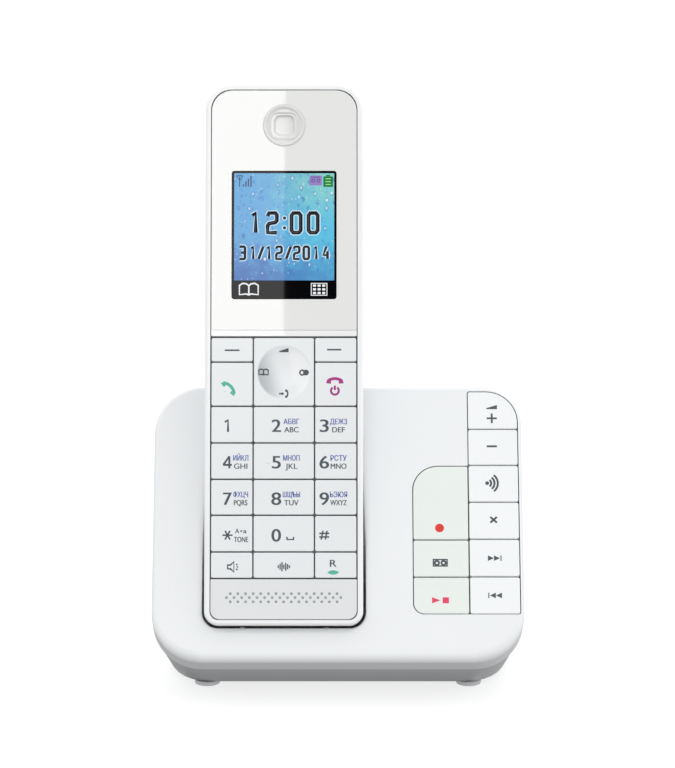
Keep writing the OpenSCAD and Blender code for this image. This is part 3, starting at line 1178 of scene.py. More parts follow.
class Shape:
    """Outlines of flat marks, as lists of closed loops in millimetres."""

    @staticmethod
    def bar(x: float, y: float, wide: float, high: float) -> list[Loop]:
        """A rectangle round its centre."""
        a, b = wide / 2, high / 2
        return [[(x - a, y - b), (x + a, y - b), (x + a, y + b), (x - a, y + b)]]

    @staticmethod
    def disc(x: float, y: float, radius: float, sides: int = 28) -> list[Loop]:
        """A filled circle."""
        angles = [2 * math.pi / sides * i for i in range(sides)]
        return [[(x + radius * math.cos(a), y + radius * math.sin(a)) for a in angles]]

    @staticmethod
    def arc(x: float, y: float, radius: float, start: float, end: float, steps: int = 14) -> Loop:
        """Points on an arc, from one angle to another in degrees.

        Args:
            x: its centre across.
            y: its centre up.
            radius: its radius.
            start: the first angle.
            end: the last angle.
            steps: how many straight pieces it has.

        Returns:
            The points.
        """
        turn = (end - start) / steps
        return [
            (
                x + radius * math.cos(math.radians(start + i * turn)),
                y + radius * math.sin(math.radians(start + i * turn)),
            )
            for i in range(steps + 1)
        ]

    @classmethod
    def ring(cls, x: float, y: float, radius: float, steps: int) -> Loop:
        """Points round a circle."""
        return cls.arc(x, y, radius, 0, 360, steps)[:-1]

    @staticmethod
    def moved(
        loops: Iterable[Loop], x: float, y: float, turn: float = 0, grow: float = 1
    ) -> list[Loop]:
        """Loops turned by an angle in degrees, scaled, and moved."""
        c, s = math.cos(math.radians(turn)) * grow, math.sin(math.radians(turn)) * grow
        return [[(x + c * a - s * b, y + s * a + c * b) for a, b in loop] for loop in loops]

    @classmethod
    def receiver(cls, x: float, y: float, wide: float, turn: float) -> list[Loop]:
        """A telephone receiver lying on its back, one unit wide before it is scaled.

        Args:
            x: its centre across.
            y: its centre up.
            wide: its width.
            turn: the angle that it is turned by.

        Returns:
            The loops.
        """
        outer = cls.arc(0, -0.62, 0.80, 126, 54, 12)
        inner = cls.arc(0, -0.62, 0.62, 68, 112, 8)
        shape = outer + [(0.52, -0.19), (0.24, -0.22)] + inner + [(-0.24, -0.22), (-0.52, -0.19)]
        return cls.moved([shape], x, y, turn, wide)


@dataclass
class Mark:
    """One flat mark in one ink: filled loops, drawn lines or lettering.

    Attributes:
        fills: closed loops.
        lines: open or closed lines, each with its width and whether it closes.
        words: lettering, as text, centre, height of its capitals and width.
    """

    finish: Finish
    fills: list[Loop] = field(default_factory=list)
    lines: list[tuple[Loop, float, bool]] = field(default_factory=list)
    words: list[tuple[str, float, float, float, float]] = field(default_factory=list)


class Printer:
    """Makes flat marks as thin meshes and lays them on a plane."""

    film = 0.012
    line_flatness = 0.12
    boldness = 0.026
    spread = 1.28
    capital = 0.7

    def _meshed(self, curve: Curve, name: str) -> Object:
        """Turns a curve into a mesh object.

        Args:
            curve: the curve's data.
            name: the object's name.

        Returns:
            The object.
        """
        obj = bpy.data.objects.new(name, curve)
        bpy.context.scene.collection.objects.link(obj)
        Bench.hold(obj)
        bpy.ops.object.convert(target="MESH")
        return bpy.context.object

    def fill(self, loops: Sequence[Loop], name: str) -> Object:
        """A thin slab within closed loops.

        Args:
            loops: the loops; one inside another is a hole.
            name: the object's name.

        Returns:
            The object.
        """
        curve = bpy.data.curves.new(name, "CURVE")
        curve.dimensions = "2D"
        curve.fill_mode = "BOTH"
        curve.extrude = self.film
        for loop in loops:
            self._spline(curve, loop, True)
        return self._meshed(curve, name)

    def line(self, loop: Loop, width: float, closed: bool, name: str) -> Object:
        """A flat line with round edges.

        Args:
            loop: its points.
            width: its width.
            closed: whether it goes round.
            name: the object's name.

        Returns:
            The object.
        """
        curve = bpy.data.curves.new(name, "CURVE")
        curve.dimensions = "3D"
        curve.bevel_depth = width / 2 * self.spread
        curve.bevel_resolution = 1
        curve.use_fill_caps = True
        self._spline(curve, loop, closed)
        obj = self._meshed(curve, name)
        obj.data.transform(Matrix.Diagonal((1, 1, self.line_flatness, 1)))
        return obj

    @staticmethod
    def _spline(curve: Curve, loop: Loop, closed: bool) -> None:
        """Adds a line of straight pieces to a curve.

        Args:
            curve: the curve's data.
            loop: the points.
            closed: whether it goes round.
        """
        spline = curve.splines.new("POLY")
        spline.points.add(len(loop) - 1)
        for point, (x, y) in zip(spline.points, loop):
            point.co = (x, y, 0, 1)
        spline.use_cyclic_u = closed

    def word(
        self, text: str, x: float, y: float, height: float, width: float, name: str
    ) -> Object:
        """Lettering fitted to a height and a width, centred on a point.

        Args:
            text: what it says.
            x: its centre across.
            y: the middle of its capitals.
            height: the height of its capitals.
            width: its whole width.
            name: the object's name.

        Returns:
            The object.
        """
        Bench.clear()
        bpy.ops.object.text_add()
        obj = bpy.context.object
        obj.name = name
        obj.data.body = text
        obj.data.extrude = self.film / height
        Bench.hold(obj)
        bpy.ops.object.convert(target="MESH")
        obj = bpy.context.object
        xs = [v.co.x for v in obj.data.vertices]
        across, upright = width / (max(xs) - min(xs)), height / self.capital
        shift = Vector((-(min(xs) + max(xs)) / 2, -self.capital / 2, 0))
        obj.data.transform(
            Matrix.Translation((x, y, 0))
            @ Matrix.Diagonal((across, upright, upright, 1))
            @ Matrix.Translation(shift)
        )
        return obj

    def lay(
        self,
        mark: Mark,
        name: str,
        lift: float,
        plane: Plane,
        body: str,
        ground: Callable[[float, float], float] | None = None,
    ) -> Object:
        """Makes a mark and lays it on a plane or on a curved ground.

        Args:
            mark: the mark.
            name: the piece's name.
            lift: its height above the plane, in millimetres.
            plane: the plane.
            body: the CAD body it moves with.
            ground: the ground's height at a point, where it is not flat.

        Returns:
            The finished piece.
        """
        parts = [self.fill([loop], name) for loop in mark.fills]
        parts += [self.line(loop, width, closed, name) for loop, width, closed in mark.lines]
        for text, x, y, height, width in mark.words:
            shift = height * self.boldness
            parts.append(self.word(text, x - shift, y, height, width, name))
            parts.append(self.word(text, x + shift, y, height, width, name))
            parts[-1].data.transform(Matrix.Translation((0, 0, self.film / 3)))
        piece = Bench.join(parts[0], parts[1:]) if len(parts) > 1 else parts[0]
        for vertex in piece.data.vertices:
            vertex.co.z += lift + (ground(vertex.co.x, vertex.co.y) if ground else 0)
        Bench.outwards(piece)
        return settle(piece, name, plane, body, mark.finish)


def settle(
    obj: Object,
    name: str,
    plane: Plane | None,
    body: str,
    finish: Finish,
    nodes: Sequence[str] = (),
) -> Object:
    """Sets a shaped piece into the frame: its place, finish and body.

    Args:
        obj: the piece.
        name: its final name.
        plane: the plane it was shaped on, or None where it is already in the frame.
        body: the CAD body it moves with.
        finish: its finish.
        nodes: the CAD nodes it stands for.

    Returns:
        The piece.
    """
    if plane is not None:
        obj.data.transform(plane.matrix())
    obj.name = obj.data.name = name
    finish.dress(obj)
    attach(obj, body)
    if nodes:
        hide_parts(*nodes)
    LOG.info("%s: %d faces on %s", name, len(obj.data.polygons), body)
    return obj


def stem_hole(plane: Plane, node: str, radius: float, z: Point) -> Object:
    """The cutter of the hole that a key's plunger goes through."""
    middle = plane.box(node).centre
    return Bench.round_bar("hole", (middle.x, middle.y), radius, z, 28)


def refine(
    node: str, name: str, edge: float, body: str, finish: Finish, segments: int = 2
) -> None:
    """Puts a welded and rounded copy of a CAD node in the node's place."""
    piece = Bench.refined(node, name, edge, segments)
    settle(piece, name, None, body, finish, [node])


PRINTER = Printer()


# --- keys


HANDSET_KEYS = (
    [f"key_{n}" for n in (*range(1, 10), "star", "0", "hash")]
    + ["soft_key_left", "soft_key_right", "talk_key", "off_key"]
    + ["speakerphone_key", "noise_reduction_key", "recall_key"]
)
BASE_KEYS = (
    "volume_up_key", "volume_down_key", "locator_key", "erase_key", "next_key", "previous_key",
    "record_key", "greeting_key", "play_stop_key",
)

# An open book, one unit wide round its centre
BOOK: list[Loop] = [
    [
        (0, -0.3), (-0.12, -0.24), (-0.5, -0.28), (-0.5, 0.22), (-0.32, 0.33), (-0.12, 0.3),
        (0, 0.2), (0, -0.3),
    ],
    [(0, -0.3), (0.12, -0.24), (0.5, -0.28), (0.5, 0.22), (0.32, 0.33), (0.12, 0.3), (0, 0.2)],
]


@dataclass
class KeyCap:
    """A key cap with rounded corners, a soft upper edge and its plunger.

    Attributes:
        stem: the plunger's radius, and stem_edge how far its end is rounded.
        overlap: how far the plunger reaches into the cap.
    """

    node: str
    plane: Plane
    finish: Finish = KEY_WHITE
    slot: str = "key_white"
    radii: tuple[float, float, float, float] = (0.5, 0.5, 0.5, 0.5)
    thick: float = 1.3
    edge: float = 0.26
    back_edge: float = 0.1
    stem: float = 1.5
    stem_edge: float = 0.2
    overlap: float = 0.02

    def build(self) -> Object:
        """Shapes the cap and its plunger and sets them in place.

        Returns:
            The finished cap.
        """
        box = self.plane.box(self.node)
        segments = [max(3, round(r * 2)) for r in self.radii]
        cap = Bench.rounded(self.node, box.layer(-self.thick, 0), self.radii, max(segments))
        Bench.soften(cap, 0, self.edge, 3)
        Bench.soften(cap, -self.thick, self.back_edge, 1)
        z = (box.low.z, self.overlap - self.thick)
        stem = Bench.round_bar("stem", (box.centre.x, box.centre.y), self.stem, z, 24)
        Bench.soften(stem, box.low.z, self.stem_edge, 2)
        cap = Bench.join(cap, [stem])
        Bench.smooth(cap)
        return settle(
            cap, f"{self.node}_cap", self.plane, self.node, self.finish, [self.node]
        )


@dataclass
class Navigator:
    """The large dished key in the middle; dish_power steepens the side of its dish."""

    dish_depth: float = 0.95
    dish_power: float = 3.0
    rings: int = 12
    thick: float = 1.3
    edge: float = 0.26
    hub_half: Point = (1.5, 0.8)
    hub_back: float = -1.75

    def ground(self, x: float, y: float) -> float:
        """The height of the key's top at a point."""
        away = math.hypot(x, y - DISH_AT) / DISH_RADIUS
        return -self.dish_depth * (1 - min(1.0, away) ** self.dish_power)

    def build(self) -> Object:
        """Shapes the key, cuts its dish and sets it in place.

        Returns:
            The finished key.
        """
        box = HANDSET.box("navigator_key")
        cap = Bench.rounded("navigator", box.layer(-self.thick, 0), (0.5,) * 4, 3)
        Bench.soften(cap, 0, self.edge, 4)
        Bench.combine(cap, self._bowl(), "DIFFERENCE")
        wide, high = self.hub_half
        z = (self.hub_back, KeyCap.overlap - self.thick)
        hub = Bench.block("hub", Box.of((-wide, wide), (DISH_AT - high, DISH_AT + high), z))
        Bench.bevel(hub, lambda a, b: True, 0.1, 1)
        cap = Bench.join(cap, [hub])
        Bench.smooth(cap, 7)
        node = "navigator_key"
        return settle(cap, "navigator_cap", HANDSET, node, DISH_PAINTED_SHADE, [node])

    def _bowl(self) -> Object:
        """The cutter of the dish: a bar whose lower end bulges down in rings.

        Returns:
            The cutter.
        """
        bowl = Bench.round_bar("bowl", (0, DISH_AT), DISH_RADIUS, (0, 1), 96)
        ring = DISH_RADIUS / self.rings
        heights = [self.ground(0, DISH_AT + DISH_RADIUS - i * ring) for i in range(self.rings)]
        moves = [(ring, heights[i] - heights[i + 1]) for i in range(self.rings - 1)]
        Bench.step(bowl, 0, moves, facing=-1)
        return bowl


@dataclass
class Keypad:
    """All the keys of the handset, and what is printed on them.

    Attributes:
        letter_step: how far the letter groups lie above and below a figure's middle.
        stroke: width of a drawn figure's lines, and thin that of the small signs.
    """

    digit_height: float = 3.55
    letter_height: float = 1.5
    letter_step: float = 1.14
    stroke: float = 0.5
    thin: float = 0.33
    digit_x: tuple[float, float, float] = (-15.8, -2.1, 11.38)
    letter_x: tuple[float, float, float] = (-12.1, 2.15, 15.4)
    row_at: tuple[float, float, float, float] = (56.15, 45.87, 35.6, 25.32)
    latin: tuple[str, ...] = ("ABC", "DEF", "GHI", "JKL", "MNO", "PQRS", "TUV", "WXYZ")
    cyrillic: tuple[str, ...] = (
        "АБВГ", "ДЕЖЗ", "ИЙКЛ",
        "МНОП", "РСТУ", "ФХЦЧ",
        "ШЩЪЫ", "ЬЭЮЯ",
    )
    digit_wide: tuple[float, ...] = (2.5, 2.35, 2.5, 2.35, 2.5, 2.35, 2.65, 2.5)
    latin_wide: tuple[float, ...] = (4.0, 3.5, 3.7, 3.3, 4.4, 3.75, 4.0, 4.6)
    upper_wide: tuple[float, ...] = (4.4, 4.8, 4.2, 4.6, 4.5, 4.1, 4.8, 4.8)
    soft_y: Point = (77.44, 77.61)

    def build(self) -> None:
        """Builds the caps and prints their marks."""
        for node in HANDSET_KEYS:
            KeyCap(node, HANDSET).build()
        Navigator().build()
        self._figures()
        self._signs()

    def _print(self, node: str, *marks: Mark, lift: float = 0.014) -> None:
        """Prints marks on a key."""
        for number, mark in enumerate(marks):
            PRINTER.lay(mark, f"{node}_print_{number}", lift, HANDSET, node)

    @staticmethod
    def _pip(node: str, at: Point, radius: float, top: float) -> None:
        """Sets a small raised dot on a key.

        Args:
            node: the key.
            at: the dot's place, across and up.
            radius: its radius.
            top: its height.
        """
        dot = Bench.round_bar("pip", at, radius, (-0.05, top), 20)
        Bench.soften(dot, top, top - 0.02, 3)
        Bench.smooth(dot, 40)
        settle(dot, f"{node}_pip", HANDSET, node, KEY_WHITE)

    def _figures(self) -> None:
        """The figures and their letter groups."""
        for number in range(1, 10):
            column, row = (number - 1) % 3, (number - 1) // 3
            x, y = self.digit_x[column], self.row_at[row]
            if number == 1:
                stem = [(x - 0.75, y + 0.98), (x + 0.1, y + 1.58), (x + 0.1, y - 1.75)]
                self._print("key_1", Mark(GREY_INK, lines=[(stem, self.stroke, False)]))
                continue
            place = number - 2
            side, high = self.letter_x[column], self.letter_height
            lower = (self.latin[place], side, y - self.letter_step, high, self.latin_wide[place])
            upper = (self.cyrillic[place], side, y + self.letter_step, high, self.upper_wide[place])
            grey = Mark(GREY_INK, words=[lower])
            if number == 4:
                top, left, right = (x + 0.5, y + 1.6), (x - 1.2, y - 0.8), (x + 1.2, y - 0.8)
                four = ([(x + 0.5, y - 1.75), top], [top, left], [left, right])
                grey.lines += [(line, self.stroke * 0.85, False) for line in four]
            else:
                grey.words.append((str(number), x, y, self.digit_height, self.digit_wide[place]))
            self._print(f"key_{number}", grey, Mark(BLUE_INK, words=[upper]))
        self._pip("key_5", (-4.2, 45.8), 0.42, 0.16)

    def _signs(self) -> None:
        """The signs on the other keys."""
        y = self.row_at[3]
        middle = (-15.76, y)
        spokes = [
            ([middle, Shape.arc(*middle, 1.4, a, a, 1)[0]], 0.34, False) for a in range(0, 360, 60)
        ]
        small = [
            ("A", -13.05, y + 1.2, 1.3, 1.1),
            ("a", -10.9, y + 1.2, 1.3, 0.9),
            ("TONE", -11.95, y - 1.2, 1.5, 3.9),
        ]
        swap = ([(-12.2, y + 1.15), (-11.65, y + 1.15)], 0.3, False)
        self._print("key_star", Mark(GREY_INK, lines=[*spokes, swap], words=small))
        space = ([(0.95, 24.85), (0.95, 24.1), (2.75, 24.1), (2.75, 24.85)], 0.38, False)
        nought = ("0", self.digit_x[1], y, self.digit_height, 2.5)
        self._print("key_0", Mark(GREY_INK, words=[nought], lines=[space]))
        x = self.digit_x[2]
        rails = [[(x - 0.85 + s, y - 1.25), (x - 0.35 + s, y + 1.25)] for s in (0, 1.15)]
        rails += [[(x - 1.4, y + s), (x + 1.4, y + s)] for s in (-0.5, 0.5)]
        hash_sign = Mark(GREY_INK, lines=[(rail, self.thin, False) for rail in rails])
        self._print("key_hash", hash_sign)
        left, right = self.soft_y
        self._print("soft_key_left", Mark(GREY_INK, fills=Shape.bar(-14.61, left, 4.15, 0.45)))
        self._print("soft_key_right", Mark(GREY_INK, fills=Shape.bar(14.16, right, 4.0, 0.45)))
        self._talk_and_off()
        self._navigator_signs()
        self._lower_row()

    def _talk_and_off(self) -> None:
        """The receivers of the talk and the off key."""
        talk = Mark(TEAL_INK, fills=Shape.receiver(-15.3, 66.95, 4.9, -45))
        self._print("talk_key", talk)
        self._pip("talk_key", (-16.4, 66.0), 0.36, 0.14)
        ring, stem = Shape.arc(14.36, 66.0, 1.1, 125, 415, 20), [(14.36, 66.2), (14.36, 67.45)]
        power = [(line, 0.46, False) for line in (ring, stem)]
        receiver = Shape.receiver(14.37, 69.0, 4.7, 0)
        self._print("off_key", Mark(MAGENTA_INK, fills=receiver, lines=power))

    def _navigator_signs(self) -> None:
        """The signs round the dish."""
        wedge = [[(-1.3, 76.95), (1.3, 76.95), (1.3, 78.1), (-1.3, 77.25)]]
        book = Shape.moved(BOOK, -5.75, 71.29, 0, 2.6)
        ring = (Shape.ring(5.15, 71.18, 0.68, 24), 0.32, True)
        arrow = ([(-1.35, 65.2), (-0.3, 65.2)], 0.34, False)
        head = [[(-0.55, 64.7), (0.1, 65.2), (-0.55, 65.7)]]
        receiver, dot = Shape.receiver(0.85, 65.2, 2.4, -90), Shape.disc(6.2, 71.18, 0.82)
        signs = Mark(
            GREY_INK,
            fills=wedge + head + receiver + dot,
            lines=[(line, 0.32, False) for line in book] + [ring, arrow],
        )
        ground = Navigator().ground
        PRINTER.lay(signs, "navigator_signs", 0.02, HANDSET, "navigator_key", ground)

    def _lower_row(self) -> None:
        """Loudspeaker, noise reduction and recall."""
        horn = [
            (-15.7, 15.9), (-15.7, 16.95), (-14.9, 16.95),
            (-13.95, 17.85), (-13.95, 15.0), (-14.9, 15.9),
        ]
        places = ((-13.15, 17.1), (-12.95, 16.42), (-13.15, 15.75))
        dots = [Shape.disc(x, y, 0.24, 12)[0] for x, y in places]
        self._print("speakerphone_key", Mark(GREY_INK, fills=dots, lines=[(horn, 0.4, True)]))
        heights = (0.8, 1.7, 2.6, 1.3, 2.2, 1.5, 0.8)
        bars = [
            Shape.bar(-1.5 + 0.52 * i, 16.47, 0.36, high)[0] for i, high in enumerate(heights)
        ]
        self._print("noise_reduction_key", Mark(GREY_INK, fills=bars))
        leaf = Shape.arc(13.9, 13.0, 2.5, 132, 48, 10) + Shape.arc(13.9, 16.75, 2.5, -48, -132, 10)
        self._print(
            "recall_key",
            Mark(GREY_INK, words=[("R", 13.9, 17.45, 2.0, 1.8)]),
            Mark(TEAL_INK, fills=[leaf]),
        )


# --- handset


@dataclass
class HandsetFront:
    """Rim, glossy panel, earpiece and lower panel of the handset.

    Attributes:
        well: depth of the tray that the panels and keys lie in.
        mic_rows: each row of microphone dots, as height, first dot and how many.
        floor_holes: the floor's other holes, as height, radius and facets.
        groove_y: lower and upper edge of the groove above the panel's lip.
        ear_rings: profile of the earpiece's ring, as steps inwards and their rises.
        line_rings: profile of the raised line round its bowl.
    """

    r_top: float = 7.4
    r_bottom: float = 4.0
    rim: float = 1.55
    well: float = 2.3
    plate_back: float = -3.4
    wall: float = 1.5
    window: float = 14.85
    window_y: Point = (91.9, 128.5)
    ear_y: float = 141.5
    ear_r: float = 5.95
    mic_rows: tuple[tuple[float, float, int], ...] = (
        (8.91, -14.95, 15), (7.81, -16.02, 16), (6.64, -14.95, 15),
    )
    mic_pitch: float = 2.137
    stem_hole: float = 2.0
    floor_holes: tuple[tuple[float, float, int], ...] = (
        (DISH_AT, 4.2, 40), (141.5, 3.0, 32), (7.8, 1.5, 24),
    )
    groove_y: Point = (83.0, 83.22)
    ear_rings: tuple[Point, ...] = (
        (0.12, 0.1), (0.14, 0.08), (0.22, 0.03), (0.22, -0.05),
        (0.3, -0.18), (0.3, -0.1), (0.12, 0),
    )
    line_rings: tuple[Point, ...] = ((0.12, 0.05), (0.18, 0.02), (0.18, -0.05), (0.3, -0.3))

    def build(self) -> None:
        """Builds the pieces in order."""
        self._frame()
        self._panel()
        self._earpiece()
        self._lower_panel()

    def _frame(self) -> None:
        """The rim with the tray behind it, hollow at the back."""
        box = HANDSET.box("handset_front_frame")
        radii = (self.r_bottom, self.r_bottom, self.r_top, self.r_top)
        rim = Bench.rounded("rim", box, radii, 14)
        Bench.step(rim, 0, [(self.rim, 0)])
        Bench.faces(
            rim,
            lambda c, n: abs(c.z) < 0.01 and n.z > 0.9 and abs(c.x) < 2 and 20 < c.y < 130,
        )
        bpy.ops.mesh.extrude_region_move(TRANSFORM_OT_translate={"value": (0, 0, -self.well)})
        Bench.done()
        inner = box.drawn_in(self.rim)

        def on_outline(a: Vector, b: Vector, edge: Box) -> bool:
            """Whether an edge at the top lies outside an inner outline.

            Args:
                a: one end of the edge.
                b: its other end.
                edge: the inner outline.

            Returns:
                True where it does.
            """
            middle = (a + b) / 2
            outside = not (
                edge.low.x + 0.4 < middle.x < edge.high.x - 0.4
                and edge.low.y + 0.4 < middle.y < edge.high.y - 0.4
            )
            return abs(a.z) < 0.01 and abs(b.z) < 0.01 and outside

        Bench.bevel(rim, lambda a, b: on_outline(a, b, inner) and self._outer(a, b, box), 0.8, 6)
        Bench.bevel(
            rim,
            lambda a, b: abs(a.z) < 0.01 and abs(b.z) < 0.01 and not self._outer(a, b, box),
            0.45,
            4,
        )
        hollow = box.drawn_in(self.wall).layer(box.low.z - 1, self.plate_back)
        cavity = Bench.rounded("cavity", hollow, (2.8, 2.8, 6.2, 6.2), 10)
        Bench.combine(rim, cavity, "DIFFERENCE")
        Bench.combine(rim, self._holes(), "DIFFERENCE")
        Bench.smooth(rim)
        settle(
            rim, "handset_rim", HANDSET, "handset", RIM, ["handset_front_frame"]
        )

    def _outer(self, a: Vector, b: Vector, box: Box) -> bool:
        """Whether an edge lies on the frame's outer outline.

        Args:
            a: one end of the edge.
            b: its other end.
            box: the frame's box.

        Returns:
            True where it does.
        """
        shape = box.drawn_in(self.rim * 0.5)
        middle = (a + b) / 2
        dx = max(shape.low.x - middle.x, middle.x - shape.high.x)
        dy = max(shape.low.y - middle.y, middle.y - shape.high.y)
        if max(dx, dy) > 0:
            return True
        radius = (self.r_top if middle.y > box.centre.y else self.r_bottom) - self.rim * 0.5
        inx, iny = radius + dx, radius + dy
        return inx > 0 and iny > 0 and math.hypot(inx, iny) > radius

    def _holes(self) -> Object:
        """The cutter of the holes in the tray's floor.

        Returns:
            The cutter.
        """
        z = (self.plate_back - 1, -self.well + 0.5)
        keys = [node for node in frame["nodes"] if node in HANDSET_KEYS]
        holes = [stem_hole(HANDSET, node, self.stem_hole, z) for node in keys]
        for y, radius, sides in self.floor_holes:
            holes.append(Bench.round_bar("hole", (0, y), radius, z, sides))
        window = Box.of((-15.3, 15.3), (self.window_y[0] - 0.4, self.window_y[1] + 0.4), z)
        holes.append(Bench.block("hole", window))
        return Bench.join(holes[0], holes[1:])

    def _panel(self) -> None:
        """The glossy upper panel with the window and the earpiece hole."""
        box = HANDSET.box("handset_front_panel")
        high = self.r_top - self.rim * 0.8 - 0.2
        panel = Bench.rounded("panel", box, (0.4, 0.4, high, high), 14)
        Bench.soften(panel, 0, 0.22, 3)
        window = Bench.rounded(
            "window", Box.of((-self.window, self.window), self.window_y, (-4, 1)), (0.8,) * 4, 5
        )
        ear = Bench.round_bar("hole", (0, self.ear_y), self.ear_r + 0.05, (-4, 1), 96)
        Bench.combine(panel, window, "DIFFERENCE")
        Bench.combine(panel, ear, "DIFFERENCE")
        groove = Bench.block("groove", Box.of((-25, 25), self.groove_y, (-0.35, 1)))
        Bench.combine(panel, groove, "DIFFERENCE")
        Bench.smooth(panel, 20)
        node = "handset_front_panel"
        settle(panel, "handset_panel", HANDSET, "handset", PANEL, [node])

    def _earpiece(self) -> None:
        """The earpiece: two rings, a rounded square line and a square bowl."""
        ring = Bench.round_bar("ring", (0, self.ear_y), self.ear_r, (-self.well, 0.02), 96)
        Bench.step(ring, 0.02, self.ear_rings)
        outline = Box.of((-4.3, 4.3), (self.ear_y - 4.0, self.ear_y + 4.0), (-0.4, 0.06))
        line = Bench.rounded("line", outline, (2.7,) * 4, 10)
        Bench.step(line, 0.06, self.line_rings)
        Bench.combine(ring, line, "UNION")
        hollow = Box.of((-2.95, 2.95), (self.ear_y - 2.95, self.ear_y + 2.95), (-0.85, 2))
        bowl = Bench.rounded("bowl", hollow, (1.9,) * 4, 10)
        Bench.soften(bowl, -0.85, 0.6, 4)
        Bench.combine(ring, bowl, "DIFFERENCE")
        Bench.smooth(ring, 40)
        settle(
            ring, "earpiece", HANDSET, "handset", EARPIECE_WHITE,
            ["handset_earpiece_ring"],
        )

    def _lower_panel(self) -> None:
        """The lower panel with its three rows of microphone dots."""
        box = HANDSET.box("handset_lower_panel")
        low = self.r_bottom - self.rim * 0.8 - 0.2
        panel = Bench.rounded("lower", box, (low, low, 0.4, 0.4), 8)
        Bench.soften(panel, 0, 0.26, 3)
        dots = [
            Bench.round_bar("dot", (first + i * self.mic_pitch, y), 0.4, (-0.3, 0.5), 14)
            for y, first, count in self.mic_rows
            for i in range(count)
        ]
        Bench.combine(panel, Bench.join(dots[0], dots[1:]), "DIFFERENCE")
        Bench.smooth(panel)
        settle(
            panel, "handset_lower_cover", HANDSET, "handset", LOWER_PANEL,
            ["handset_lower_panel"],
        )


# Each figure's lines in a cell one unit wide and high, and whether they close
GLYPHS: dict[str, list[tuple[Loop, bool]]] = {
    "0": [
        ([(0.2, 0), (0.8, 0), (1, 0.12), (1, 0.88), (0.8, 1), (0.2, 1), (0, 0.88), (0, 0.12)], True)
    ],
    "1": [([(0.0, 0.86), (0.7, 1), (0.7, 0)], False)],
    "2": [
        (
            [
                (0, 0.84), (0.16, 1), (0.84, 1), (1, 0.9), (1, 0.62), (0.84, 0.52),
                (0.16, 0.46), (0, 0.34), (0, 0), (1, 0),
            ],
            False,
        )
    ],
    "3": [
        ([(0, 1), (0.85, 1), (1, 0.9), (1, 0.1), (0.85, 0), (0, 0)], False),
        ([(0.3, 0.52), (1, 0.52)], False),
    ],
    "4": [([(0.55, 1), (0, 0.32), (1, 0.32)], False), ([(0.78, 0.62), (0.78, 0)], False)],
    "/": [([(0, 0), (1, 1)], False)],
}


